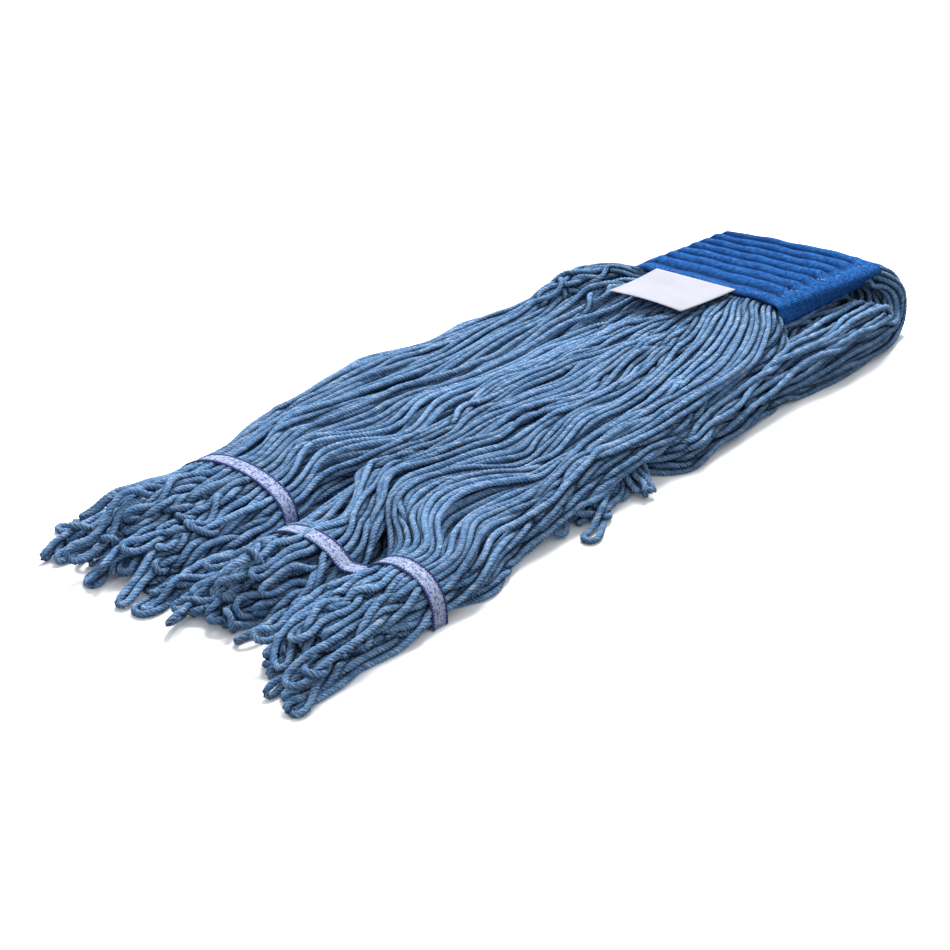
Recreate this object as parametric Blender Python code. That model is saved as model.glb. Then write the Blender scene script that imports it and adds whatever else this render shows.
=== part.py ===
"""String mop head lying folded on a floor, in metres.

+X runs across the headband, +Y from the looped tail to the headband, +Z up. The origin is the middle of
the footprint, on the floor. The front half of the yarn lies stretched out towards -Y. The back half curls
over the far edge of the headband and lies folded underneath.
"""

import math

import bmesh
import bpy
from mathutils import Vector

# Clearance between pieces that touch, and between the bundles that one half of the yarn is split into.
GAP = 0.0003
BUNDLE_GAP = 0.0010

# Headband: a flat mesh sleeve, sewn in rows through the yarn.
BAND_LEFT = -0.0560
BAND_WIDTH = 0.1350
BAND_NEAR = 0.2040
BAND_LENGTH = 0.1270
BAND_TOP = 0.0650
BAND_THICKNESS = 0.0200
PANEL_THICKNESS = 0.0030
BACKING_THICKNESS = 0.0025
HEM_WIDTH = 0.0022
HEM_SHOULDER = 0.45
HEM_ROUND = 0.0025
STITCH_ROWS = 7
CHANNEL_WIDTH = 0.0030
CHANNEL_DEPTH = 0.0016
STITCH_RADIUS = 0.0006

BAND_RIGHT = BAND_LEFT + BAND_WIDTH
BAND_FAR = BAND_NEAR + BAND_LENGTH
BAND_BOTTOM = BAND_TOP - BAND_THICKNESS
BAND_MIDDLE = BAND_LEFT + BAND_WIDTH / 2

# Label: a blank tab sewn to the headband's near edge.
LABEL_LEFT = -0.0480
LABEL_WIDTH = 0.0780
LABEL_LENGTH = 0.0500
LABEL_THICKNESS = 0.0008
LABEL_DROP = 0.0045
LABEL_HINGE_Y = BAND_NEAR - 0.0005
LABEL_HINGE_Z = BAND_TOP + 0.0025

# Tail band: a tape above and a tape below each half of the yarn, sewn together along both edges.
TAPE_WIDTH = 0.0127
TAPE_THICKNESS = 0.0008
THREAD_RADIUS = 0.0005
THREAD_INSET = 0.0010
THREAD_LIFT = 0.0008
FRONT_TAPE_Y = (-0.2150, -0.2580, -0.2520)
BACK_TAPE_Y = -0.0085

# The yarn's back half turns on the floor line just behind the headband.
CURL_END_Y = 0.3340

# Cross-section of a bundle of yarn, from 0 to 1 across and from 0 to 1 upwards.
SECTION = (
    (0.08, 0.00), (0.92, 0.00), (1.00, 0.15), (1.00, 0.55), (0.88, 0.88),
    (0.62, 1.00), (0.38, 1.00), (0.12, 0.88), (0.00, 0.55), (0.00, 0.15),
)
OVER_SECTION = SECTION[:1:-1]
CREST = tuple((across, up) for across, up in OVER_SECTION if up >= 0.88)
SIDE_UPS = (0.15, 0.55)

# Stations of each bundle: (y, left, right, bottom, top).
FRONT_YARN = {
    "left": (
        (0.2037, -0.0540, -0.0125, 0.0470, 0.0630),
        (0.1900, -0.1080, -0.0250, 0.0430, 0.0610),
        (0.1550, -0.1370, -0.0330, 0.0345, 0.0540),
        (0.1100, -0.1470, -0.0330, 0.0000, 0.0420),
        (0.0500, -0.1490, -0.0330, 0.0000, 0.0360),
        (-0.0300, -0.1430, -0.0330, 0.0000, 0.0340),
        (-0.1250, -0.1310, -0.0330, 0.0000, 0.0330),
        (-0.1900, -0.1310, -0.0310, 0.0000, 0.0330),
        (-0.2075, -0.1370, -0.0300, 0.0016, 0.0340),
        (-0.2217, -0.1370, -0.0300, 0.0016, 0.0340),
    ),
    "middle": (
        (0.2037, -0.0122, 0.0320, 0.0470, 0.0630),
        (0.1900, -0.0247, 0.0380, 0.0430, 0.0610),
        (0.1550, -0.0327, 0.0420, 0.0345, 0.0540),
        (0.1100, -0.0327, 0.0430, 0.0318, 0.0510),
        (0.0500, -0.0327, 0.0420, 0.0282, 0.0470),
        (-0.0300, -0.0327, 0.0420, 0.0258, 0.0440),
        (-0.1280, -0.0327, 0.0450, 0.0240, 0.0410),
        (-0.1750, -0.0100, 0.0600, 0.0000, 0.0360),
        (-0.2400, -0.0030, 0.0570, 0.0000, 0.0340),
        (-0.2500, -0.0030, 0.0570, 0.0016, 0.0340),
        (-0.2647, -0.0030, 0.0570, 0.0016, 0.0340),
    ),
    "right": (
        (0.2037, 0.0323, 0.0770, 0.0470, 0.0630),
        (0.1900, 0.0383, 0.0890, 0.0400, 0.0600),
        (0.1550, 0.0423, 0.1000, 0.0345, 0.0500),
        (0.1100, 0.0433, 0.1050, 0.0318, 0.0470),
        (0.0500, 0.0423, 0.0980, 0.0282, 0.0450),
        (-0.0300, 0.0423, 0.1070, 0.0258, 0.0430),
        (-0.1280, 0.0453, 0.1080, 0.0240, 0.0390),
        (-0.1750, 0.0640, 0.1240, 0.0000, 0.0350),
        (-0.2340, 0.0750, 0.1290, 0.0000, 0.0340),
        (-0.2440, 0.0750, 0.1290, 0.0016, 0.0340),
        (-0.2587, 0.0750, 0.1290, 0.0016, 0.0340),
    ),
}
FRONT_LOOPS = {
    "left": (
        (-0.2220, -0.1370, -0.0300, 0.0016, 0.0340),
        (-0.2500, -0.1460, -0.0310, 0.0000, 0.0360),
        (-0.3000, -0.1500, -0.0240, 0.0000, 0.0320),
        (-0.3400, -0.1380, -0.0200, 0.0000, 0.0240),
        (-0.3560, -0.1250, -0.0300, 0.0020, 0.0150),
    ),
    "middle": (
        (-0.2650, -0.0030, 0.0570, 0.0016, 0.0340),
        (-0.2800, -0.0120, 0.0600, 0.0000, 0.0360),
        (-0.3100, -0.0190, 0.0600, 0.0000, 0.0340),
        (-0.3450, -0.0180, 0.0560, 0.0000, 0.0260),
        (-0.3620, -0.0050, 0.0480, 0.0020, 0.0160),
    ),
    "right": (
        (-0.2590, 0.0750, 0.1290, 0.0016, 0.0340),
        (-0.2800, 0.0640, 0.1320, 0.0000, 0.0370),
        (-0.3100, 0.0610, 0.1400, 0.0000, 0.0360),
        (-0.3450, 0.0600, 0.1500, 0.0000, 0.0300),
        (-0.3675, 0.0700, 0.1430, 0.0020, 0.0160),
    ),
}
BACK_YARN = (
    (0.3337, -0.0520, 0.1020, 0.0000, 0.0240),
    (0.3000, -0.0520, 0.1160, 0.0000, 0.0340),
    (0.2500, -0.0500, 0.1200, 0.0000, 0.0380),
    (0.2150, -0.0380, 0.1190, 0.0000, 0.0360),
    (0.1900, -0.0230, 0.1180, 0.0000, 0.0344),
    (0.1550, -0.0220, 0.1130, 0.0000, 0.0323),
    (0.1100, -0.0220, 0.1160, 0.0000, 0.0296),
    (0.0500, -0.0220, 0.1180, 0.0000, 0.0260),
    (0.0100, -0.0220, 0.0940, 0.0000, 0.0235),
    (0.0000, -0.0220, 0.0900, 0.0016, 0.0225),
    (-0.0155, -0.0220, 0.0900, 0.0016, 0.0225),
)
BACK_LOOPS = (
    (-0.0158, -0.0220, 0.0900, 0.0016, 0.0225),
    (-0.0350, -0.0230, 0.1180, 0.0000, 0.0220),
    (-0.0750, -0.0230, 0.1250, 0.0000, 0.0200),
    (-0.1080, -0.0220, 0.1210, 0.0000, 0.0170),
    (-0.1260, -0.0150, 0.1100, 0.0020, 0.0120),
)
# Stations of the curl: (y, z, heading in degrees, half thickness, left, right).
CURL = (
    (0.3315, 0.0555, 0.0, 0.0080, -0.0520, 0.0770),
    (0.3430, 0.0530, -30.0, 0.0090, -0.0530, 0.0820),
    (0.3530, 0.0430, -62.0, 0.0105, -0.0530, 0.0900),
    (0.3560, 0.0310, -90.0, 0.0115, -0.0530, 0.0980),
    (0.3530, 0.0205, -125.0, 0.0115, -0.0530, 0.1010),
    (0.3450, 0.0135, -155.0, 0.0118, -0.0520, 0.1020),
    (CURL_END_Y, 0.0120, -180.0, 0.0120, -0.0520, 0.1020),
)
SIDES = ("left", "middle", "right")

# Colours as (red, green, blue), with the roughness.
COLOURS = {
    "yarn": ((0.16, 0.27, 0.43), 0.95),
    "mesh": ((0.02, 0.10, 0.36), 0.80),
    "thread": ((0.02, 0.07, 0.34), 0.70),
    "tape": ((0.42, 0.46, 0.66), 0.90),
    "label": ((0.78, 0.78, 0.84), 0.85),
}


def clear_scene():
    for obj in list(bpy.data.objects):
        bpy.data.objects.remove(obj, do_unlink=True)


def make_material(name):
    colour, roughness = COLOURS[name]
    material = bpy.data.materials.new(name)
    material.use_nodes = True
    shader = material.node_tree.nodes["Principled BSDF"]
    shader.inputs["Base Color"].default_value = (*colour, 1.0)
    shader.inputs["Roughness"].default_value = roughness
    shader.inputs["Metallic"].default_value = 0.0
    return material


def add_piece(name, data, material, parent):
    """Links the data as a piece. Its shape is in world space, and its parent empty marks its hinge."""
    obj = bpy.data.objects.new(name, data)
    obj.data.materials.append(make_material(material))
    parts.objects.link(obj)
    if parent is not None:
        obj.parent = parent
        obj.matrix_parent_inverse = parent.matrix_world.inverted()
    return obj


def add_hinge(name, y, z):
    empty = bpy.data.objects.new(name, None)
    empty.location = (BAND_MIDDLE, y, z)
    parts.objects.link(empty)
    bpy.context.view_layer.update()
    return empty


def loft(name, rings, material, parent=None):
    """A closed solid through rings of the same number of points."""
    shape = bmesh.new()
    rows = [[shape.verts.new(point) for point in ring] for ring in rings]
    count = len(rings[0])
    for near, far in zip(rows, rows[1:]):
        for i in range(count):
            j = (i + 1) % count
            shape.faces.new((near[i], near[j], far[j], far[i]))
    shape.faces.new(rows[0][::-1])
    shape.faces.new(rows[-1])
    bmesh.ops.recalc_face_normals(shape, faces=shape.faces)
    data = bpy.data.meshes.new(name)
    shape.to_mesh(data)
    shape.free()
    return add_piece(name, data, material, parent)


def extrude_along_x(name, outline, left, right, material, parent=None):
    """A flat (y, z) outline carried from left to right."""
    rings = [[Vector((x, y, z)) for y, z in outline] for x in (left, right)]
    return loft(name, rings, material, parent)


def rod(name, points, radius, material, parent=None):
    """A thread along the points."""
    data = bpy.data.curves.new(name, "CURVE")
    data.dimensions = "3D"
    data.bevel_depth = radius
    data.bevel_resolution = 2
    data.use_fill_caps = True
    spline = data.splines.new("POLY")
    spline.points.add(len(points) - 1)
    for target, point in zip(spline.points, points):
        target.co = (*point, 1.0)
    return add_piece(name, data, material, parent)


def section_point(box, across, up):
    left, right, bottom, top = box
    return left + (right - left) * across, bottom + (top - bottom) * up


def bundle(name, stations, parent):
    rings = []
    for y, *box in stations:
        corners = [section_point(box, across, up) for across, up in SECTION]
        rings.append([Vector((x, y, z)) for x, z in corners])
    return loft(name, rings, "yarn", parent)


def split(left, right, index):
    """The index-th third of the span, with a gap to the next one."""
    third = (right - left) / 3
    start = left + third * index
    end = start + third - (BUNDLE_GAP if index < 2 else 0.0)
    return start, end


def split_stations(stations, index):
    return [(y, *split(left, right, index), low, high) for y, left, right, low, high in stations]


def grown(box, clearance):
    left, right, bottom, top = box
    return left - clearance, right + clearance, bottom - clearance, top + clearance


def front_tape_path(clearance):
    """Points across the three front clusters, up and over each one."""
    path = []
    for side, y in zip(SIDES, FRONT_TAPE_Y):
        box = grown(FRONT_YARN[side][-1][1:], clearance)
        for across, up in OVER_SECTION:
            path.append((*section_point(box, across, up), y))
    return [Vector((x, y, z)) for x, z, y in path]


def back_tape_path(clearance):
    """Points over the three back bundles, straight across the grooves between them."""
    box = grown(BACK_YARN[-1][1:], clearance)
    path = [section_point(box, 0.0, up) for up in SIDE_UPS]
    for index in range(len(SIDES)):
        left, right = split(*box[:2], index)
        path += [section_point((left, right, *box[2:]), across, up) for across, up in CREST]
    path += [section_point(box, 1.0, up) for up in reversed(SIDE_UPS)]
    return [Vector((x, BACK_TAPE_Y, z)) for x, z in path]


def side_normal(start, end):
    """The normal of a stretch of path in the XZ plane, on its upper side where it runs towards +X."""
    ahead = end - start
    return Vector((-ahead.z, 0.0, ahead.x)).normalized()


def offset_path(path, distance):
    """The same path, moved outwards by the distance, with mitred corners."""
    moved = []
    for i, point in enumerate(path):
        before = side_normal(path[max(i - 1, 0)], path[max(i, 1)])
        after = side_normal(path[min(i, len(path) - 2)], path[min(i + 1, len(path) - 1)])
        moved.append(point + (before + after) * (distance / (1.0 + before.dot(after))))
    return moved


def tape(name, path, parent):
    """A flat strip of the tape's width along Y, following the path across X."""
    rings = []
    for i, point in enumerate(path):
        normal = side_normal(path[max(i - 1, 0)], path[min(i + 1, len(path) - 1)]) * (TAPE_THICKNESS / 2)
        width = Vector((0.0, TAPE_WIDTH / 2, 0.0))
        rings.append([point - width - normal, point + width - normal,
                      point + width + normal, point - width + normal])
    return loft(name, rings, "tape", parent)


def tail_band(name, over, under, parent):
    """The upper and lower tapes and the thread along each edge of the upper one."""
    tape(name + "_upper", over, parent)
    tape(name + "_lower", under, parent)
    reach = TAPE_WIDTH / 2 - THREAD_INSET
    over_thread = offset_path(over, TAPE_THICKNESS / 2 + THREAD_LIFT + THREAD_RADIUS)
    for edge, shift in (("inner", reach), ("outer", -reach)):
        points = [point + Vector((0.0, shift, 0.0)) for point in over_thread]
        rod(name + "_thread_" + edge, points, THREAD_RADIUS, "thread", parent)


def make_headband():
    """The sleeve: a top panel with sewn channels, a plain backing, two side hems and the yarn inside."""
    panel_left = BAND_LEFT + HEM_WIDTH + GAP
    panel_right = BAND_RIGHT - HEM_WIDTH - GAP
    spacing = BAND_LENGTH / (STITCH_ROWS + 1)
    channels = [BAND_NEAR + spacing * (row + 1) for row in range(STITCH_ROWS)]
    panel_low = BAND_TOP - PANEL_THICKNESS
    outline = [(BAND_NEAR, panel_low), (BAND_NEAR, BAND_TOP)]
    for y in channels:
        near, far = y - CHANNEL_WIDTH / 2, y + CHANNEL_WIDTH / 2
        floor = BAND_TOP - CHANNEL_DEPTH
        outline += [(near, BAND_TOP), (near, floor), (far, floor), (far, BAND_TOP)]
    outline += [(BAND_FAR, BAND_TOP), (BAND_FAR, panel_low)]
    extrude_along_x("headband_top_panel", outline, panel_left, panel_right, "mesh")

    backing_top = BAND_BOTTOM + BACKING_THICKNESS
    backing = [(BAND_NEAR, BAND_BOTTOM), (BAND_NEAR, backing_top), (BAND_FAR, backing_top), (BAND_FAR, BAND_BOTTOM)]
    extrude_along_x("headband_bottom_panel", backing, panel_left, panel_right, "mesh")

    core_low, core_high = backing_top + GAP, panel_low - GAP
    core = [(BAND_NEAR + GAP, core_low), (BAND_NEAR + GAP, core_high),
            (BAND_FAR - GAP, core_high), (BAND_FAR - GAP, core_low)]
    extrude_along_x("headband_yarn_core", core, panel_left + GAP, panel_right - GAP, "yarn")

    for name, inner, outer in (("left", panel_left - GAP, BAND_LEFT), ("right", panel_right + GAP, BAND_RIGHT)):
        shoulder = inner + (outer - inner) * HEM_SHOULDER
        profile = [(inner, BAND_BOTTOM), (shoulder, BAND_BOTTOM), (outer, BAND_BOTTOM + HEM_ROUND),
                   (outer, BAND_TOP - HEM_ROUND), (shoulder, BAND_TOP), (inner, BAND_TOP)]
        rings = [[Vector((x, y, z)) for x, z in profile] for y in (BAND_NEAR, BAND_FAR)]
        loft("headband_hem_" + name, rings, "mesh")

    stitch_z = BAND_TOP - CHANNEL_DEPTH + GAP + STITCH_RADIUS
    for row, y in enumerate(channels):
        ends = [Vector((panel_left, y, stitch_z)), Vector((panel_right, y, stitch_z))]
        rod("headband_stitch_row_%d" % (row + 1), ends, STITCH_RADIUS, "thread")


def make_curl():
    """The yarn that leaves the far edge of the headband and turns down to the floor."""
    for index, side in enumerate(SIDES):
        rings = []
        for y, z, heading, half, left, right in CURL:
            start, end = split(left, right, index)
            angle = math.radians(heading)
            outward = Vector((0.0, -math.sin(angle), math.cos(angle)))
            ring = []
            for across, up in SECTION:
                x = start + (end - start) * across
                ring.append(Vector((x, y, z)) + outward * half * (1.0 - 2.0 * up))
            rings.append(ring)
        loft("back_curl_" + side, rings, "yarn")


def make_front_half():
    hinge = add_hinge("front_yarn_hinge", BAND_NEAR, BAND_TOP)
    for side in SIDES:
        bundle("front_yarn_" + side, FRONT_YARN[side], hinge)
        bundle("front_loops_" + side, FRONT_LOOPS[side], hinge)
    over = front_tape_path(GAP + TAPE_THICKNESS / 2)
    low = GAP + TAPE_THICKNESS / 2
    corners = len(over) // len(SIDES)
    under = [Vector((point.x, point.y, low)) for i, point in enumerate(over) if i % corners in (0, corners - 1)]
    tail_band("front_tail_band", over, under, hinge)
    return hinge


def make_back_half():
    hinge = add_hinge("back_yarn_hinge", CURL_END_Y, 0.0)
    for index, side in enumerate(SIDES):
        bundle("back_yarn_" + side, split_stations(BACK_YARN, index), hinge)
        bundle("back_loops_" + side, split_stations(BACK_LOOPS, index), hinge)
    over = back_tape_path(GAP + TAPE_THICKNESS / 2)
    low = GAP + TAPE_THICKNESS / 2
    under = [Vector((point.x, point.y, low)) for point in (over[0], over[-1])]
    tail_band("back_tail_band", over, under, hinge)


def make_label():
    hinge = add_hinge("label_hinge", LABEL_HINGE_Y, LABEL_HINGE_Z)
    top = LABEL_HINGE_Z - GAP
    end_y = LABEL_HINGE_Y - LABEL_LENGTH
    outline = [(LABEL_HINGE_Y, top), (end_y, top - LABEL_DROP),
               (end_y, top - LABEL_DROP - LABEL_THICKNESS), (LABEL_HINGE_Y, top - LABEL_THICKNESS)]
    extrude_along_x("label", outline, LABEL_LEFT, LABEL_LEFT + LABEL_WIDTH, "label", hinge)


clear_scene()
parts = bpy.data.collections.new("string_mop_head")
bpy.context.scene.collection.children.link(parts)
make_headband()
make_curl()
make_front_half()
make_back_half()
make_label()
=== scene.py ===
import math
from functools import partial

import bpy
import numpy as np
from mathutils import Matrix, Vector


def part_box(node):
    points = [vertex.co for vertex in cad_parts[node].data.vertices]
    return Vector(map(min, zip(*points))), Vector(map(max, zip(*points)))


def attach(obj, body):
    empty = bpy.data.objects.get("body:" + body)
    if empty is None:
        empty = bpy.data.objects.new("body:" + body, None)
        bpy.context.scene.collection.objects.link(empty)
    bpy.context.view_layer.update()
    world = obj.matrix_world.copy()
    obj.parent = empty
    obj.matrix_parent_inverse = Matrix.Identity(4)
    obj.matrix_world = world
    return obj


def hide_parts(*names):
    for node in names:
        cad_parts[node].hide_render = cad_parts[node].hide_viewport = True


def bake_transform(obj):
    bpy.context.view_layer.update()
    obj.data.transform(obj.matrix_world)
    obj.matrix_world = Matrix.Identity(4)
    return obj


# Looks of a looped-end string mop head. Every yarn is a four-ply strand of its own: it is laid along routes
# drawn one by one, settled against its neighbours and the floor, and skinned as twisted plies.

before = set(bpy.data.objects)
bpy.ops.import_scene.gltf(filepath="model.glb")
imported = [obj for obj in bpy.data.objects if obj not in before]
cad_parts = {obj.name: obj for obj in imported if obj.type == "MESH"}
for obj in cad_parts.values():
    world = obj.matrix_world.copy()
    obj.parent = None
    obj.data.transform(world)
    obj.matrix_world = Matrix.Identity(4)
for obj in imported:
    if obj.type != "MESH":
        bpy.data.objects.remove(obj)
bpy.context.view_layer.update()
rng = np.random.default_rng(11)

MM = 0.001


def span(*nodes):
    """Lowest and highest corner of several CAD nodes together."""
    boxes = [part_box(node) for node in nodes]
    low = np.min([box[0] for box in boxes], axis=0)
    high = np.max([box[1] for box in boxes], axis=0)
    return low, high


BAND_LOW, BAND_HIGH = span("headband_hem_left", "headband_hem_right", "headband_bottom_panel")
BAND_NEAR, BAND_FAR = BAND_LOW[1], BAND_HIGH[1]
BAND_BOTTOM, BAND_TOP = BAND_LOW[2], BAND_HIGH[2]
BACK_TAPE_LOW, BACK_TAPE_HIGH = span("back_tail_band_upper")
TAPE_WIDTH = BACK_TAPE_HIGH[1] - BACK_TAPE_LOW[1]
BACK_TAPE_Y = (BACK_TAPE_LOW[1] + BACK_TAPE_HIGH[1]) / 2
CURL_FAR = span("back_curl_middle")[1][1]
CURL_END = span("back_yarn_middle")[1][1]

# Yarn: four-ply strands, squeezed where the headband and the tail bands hold them.
STRAND_DIAMETER = 4.7 * MM
STRAND_RADIUS = STRAND_DIAMETER / 2
PLIES = 4
TWIST_PITCH = 11.6 * MM
# Radius of a strand in the groove between two plies and on a ply's crest, as shares of its radius.
LOBE = (0.80, 1.0)
RING_POINTS = PLIES * len(LOBE)
# Length of a strand between two of its rings, on strands that show and on those that are mostly hidden.
FINE_STEP = 1.7 * MM
PLAIN_STEP = 2.4 * MM
# Cloth and thread.
TAPE_THICKNESS = 0.7 * MM
THREAD_RADIUS = 0.40 * MM

# ---------------------------------------------------------------- node helpers


def new_material(name):
    material = bpy.data.materials.new(name)
    material.use_nodes = True
    tree = material.node_tree
    return material, tree, tree.nodes["Principled BSDF"]


def set_inputs(tree, node, inputs):
    """Sets each socket to a value, or links it to another node's output."""
    for key, value in dict(inputs).items():
        if isinstance(value, bpy.types.NodeSocket):
            tree.links.new(value, node.inputs[key])
        else:
            node.inputs[key].default_value = value


def add_node(tree, kind, inputs=(), **settings):
    node = tree.nodes.new(kind)
    for name, value in settings.items():
        setattr(node, name, value)
    set_inputs(tree, node, inputs)
    return node


def math_node(tree, operation, *values):
    return add_node(tree, "ShaderNodeMath", dict(enumerate(values)), operation=operation).outputs[0]


def noise(tree, vector, scale, detail=2.0):
    """Noise of a scale, or of a stretch for each axis."""
    if isinstance(scale, tuple):
        inputs = {0: vector, 1: scale}
        vector = add_node(tree, "ShaderNodeVectorMath", inputs, operation="MULTIPLY").outputs["Vector"]
        scale = 1.0
    inputs = {"Vector": vector, "Scale": scale, "Detail": detail}
    return add_node(tree, "ShaderNodeTexNoise", inputs).outputs["Fac"]


def ramp(tree, factor, stops):
    node = add_node(tree, "ShaderNodeValToRGB", {"Fac": factor})
    elements = node.color_ramp.elements
    while len(elements) < len(stops):
        elements.new(0.5)
    for element, (place, colour) in zip(elements, stops):
        element.position = place
        element.color = (*colour, 1.0)
    return node.outputs["Color"]


def mix_colour(tree, factor, first, second, blend="MIX"):
    """The first colour with a share of the second, which is a colour or another node's output."""
    if isinstance(second, tuple):
        second = (*second, 1.0)
    node = add_node(tree, "ShaderNodeMix", data_type="RGBA", blend_type=blend)
    set_inputs(tree, node, {0: factor, 6: first, 7: second})
    return node.outputs[2]


def mesh_attribute(tree, name):
    return add_node(tree, "ShaderNodeAttribute", attribute_name=name).outputs["Fac"]


def bump(tree, shader, height, distance, strength=1.0):
    inputs = {"Height": height, "Distance": distance, "Strength": strength}
    node = add_node(tree, "ShaderNodeBump", inputs)
    tree.links.new(node.outputs["Normal"], shader.inputs["Normal"])


# ---------------------------------------------------------------- camera, floor and light

CAMERA_TARGET = Vector((0.0477, -0.1216, 0.0300))
CAMERA_AZIMUTH = math.radians(40)
CAMERA_ELEVATION = math.radians(25)
CAMERA_DISTANCE = 1.38
CAMERA_LENS = 79.6
# Strength of the studio's light from above and, as the floor throws none back, from below.
SKY_ABOVE = 0.84
SKY_BELOW = 0.30
FLOOR_REACH = 6.0


def add_camera():
    data = bpy.data.cameras.new("camera")
    data.lens = CAMERA_LENS
    data.clip_start = 0.05
    camera = bpy.data.objects.new("camera", data)
    flat = math.cos(CAMERA_ELEVATION)
    height = math.sin(CAMERA_ELEVATION)
    back = Vector((math.sin(CAMERA_AZIMUTH) * flat, -math.cos(CAMERA_AZIMUTH) * flat, height))
    camera.location = CAMERA_TARGET + back * CAMERA_DISTANCE
    camera.rotation_euler = (-back).to_track_quat("-Z", "Y").to_euler()
    bpy.context.scene.collection.objects.link(camera)
    bpy.context.scene.camera = camera


def add_area_light(name, location, size, power):
    """A square light, turned towards the mop head."""
    data = bpy.data.lights.new(name, "AREA")
    data.size = size
    data.energy = power
    light = bpy.data.objects.new(name, data)
    light.location = location
    light.rotation_euler = (Vector((0, 0, 0)) - Vector(location)).to_track_quat("-Z", "Y").to_euler()
    bpy.context.scene.collection.objects.link(light)


def add_studio():
    bpy.context.scene.view_settings.view_transform = "Standard"
    world = bpy.data.worlds.new("studio")
    world.use_nodes = True
    tree = world.node_tree
    background = tree.nodes["Background"]
    background.inputs["Color"].default_value = (0.93, 0.96, 1.0, 1.0)
    direction = add_node(tree, "ShaderNodeTexCoord").outputs["Generated"]
    height = add_node(tree, "ShaderNodeSeparateXYZ", {0: direction}).outputs["Z"]
    ranges = {0: height, 1: -0.15, 2: 0.0, 3: SKY_BELOW, 4: SKY_ABOVE}
    strength = add_node(tree, "ShaderNodeMapRange", ranges).outputs[0]
    tree.links.new(strength, background.inputs["Strength"])
    bpy.context.scene.world = world
    add_area_light("key", (-0.5, 0.9, 1.7), 0.9, 72)
    add_area_light("fill", (1.4, -1.2, 1.5), 1.6, 8)

    data = bpy.data.meshes.new("floor")
    corners = [(x * FLOOR_REACH, y * FLOOR_REACH, 0) for x, y in ((-1, -1), (1, -1), (1, 1), (-1, 1))]
    data.from_pydata(corners, [], [(0, 1, 2, 3)])
    floor = bpy.data.objects.new("floor", data)
    bpy.context.scene.collection.objects.link(floor)
    paper, tree, shader = new_material("floor_paper")
    look = {"Base Color": (0.93, 0.93, 0.93, 1.0), "Roughness": 0.9, "Specular IOR Level": 0.1}
    set_inputs(tree, shader, look)
    floor.data.materials.append(paper)
    floor.visible_diffuse = False


# ---------------------------------------------------------------- materials


def make_yarn_material():
    """Heather cotton yarn: blue and pale fibres streak along each ply, with painted shade in the grooves
    between the plies and in the crevices beside other strands.
    """
    material, tree, shader = new_material("yarn_heather")
    calc = partial(math_node, tree)
    place = add_node(tree, "ShaderNodeUVMap", uv_map="Yarn").outputs["UV"]
    parts = add_node(tree, "ShaderNodeSeparateXYZ", {0: place})
    around = parts.outputs["X"]
    along = parts.outputs["Y"]
    across = calc("FRACT", calc("MULTIPLY", around, PLIES))
    edge = calc("ABSOLUTE", calc("SUBTRACT", across, 0.5))
    groove = calc("POWER", calc("MULTIPLY", edge, 2.0), 4.0)
    tint = mesh_attribute(tree, "Tint")
    layer = calc("MULTIPLY", tint, 37.0)
    shifted = add_node(tree, "ShaderNodeCombineXYZ", {0: around, 1: along, 2: layer}).outputs[0]
    fibres = noise(tree, shifted, (34.0, 300.0, 1.0), 4.0)
    specks = noise(tree, shifted, (60.0, 900.0, 3.0))
    clouds = noise(tree, shifted, (2.0, 45.0, 1.0))
    blend = calc("MULTIPLY_ADD", clouds, 0.30, calc("MULTIPLY", fibres, 0.70))
    colour = ramp(tree, blend, (
        (0.34, (0.010, 0.055, 0.155)), (0.45, (0.056, 0.158, 0.330)),
        (0.54, (0.130, 0.260, 0.452)), (0.66, (0.430, 0.525, 0.665))))
    pale = ramp(tree, specks, ((0.56, (0.0, 0.0, 0.0)), (0.70, (1.0, 1.0, 1.0))))
    colour = mix_colour(tree, calc("MULTIPLY", pale, 0.60), colour, (0.67, 0.73, 0.82))
    shade = calc("MULTIPLY_ADD", tint, 0.34, 0.86)
    grey = add_node(tree, "ShaderNodeCombineXYZ", {0: shade, 1: shade, 2: shade}).outputs[0]
    colour = mix_colour(tree, 1.0, colour, grey, "MULTIPLY")
    # Painted shade in the grooves between the plies.
    colour = mix_colour(tree, calc("MULTIPLY", groove, 0.75), colour, (0.006, 0.028, 0.080))
    # Painted shade in the crevices beside other strands of the same half, read from a mesh attribute.
    crevice_shade = mesh_attribute(tree, "CreviceShade")
    colour = mix_colour(tree, calc("MULTIPLY", crevice_shade, 0.85), colour, (0.002, 0.012, 0.034))
    set_inputs(tree, shader, {
        "Base Color": colour, "Roughness": 0.95, "Specular IOR Level": 0.03,
        "Sheen Weight": 0.04, "Sheen Roughness": 0.6, "Sheen Tint": (0.70, 0.82, 1.0, 1.0)})
    bump(tree, shader, calc("MULTIPLY_ADD", groove, -0.9, fibres), 0.5 * MM, 0.8)
    return material


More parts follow.
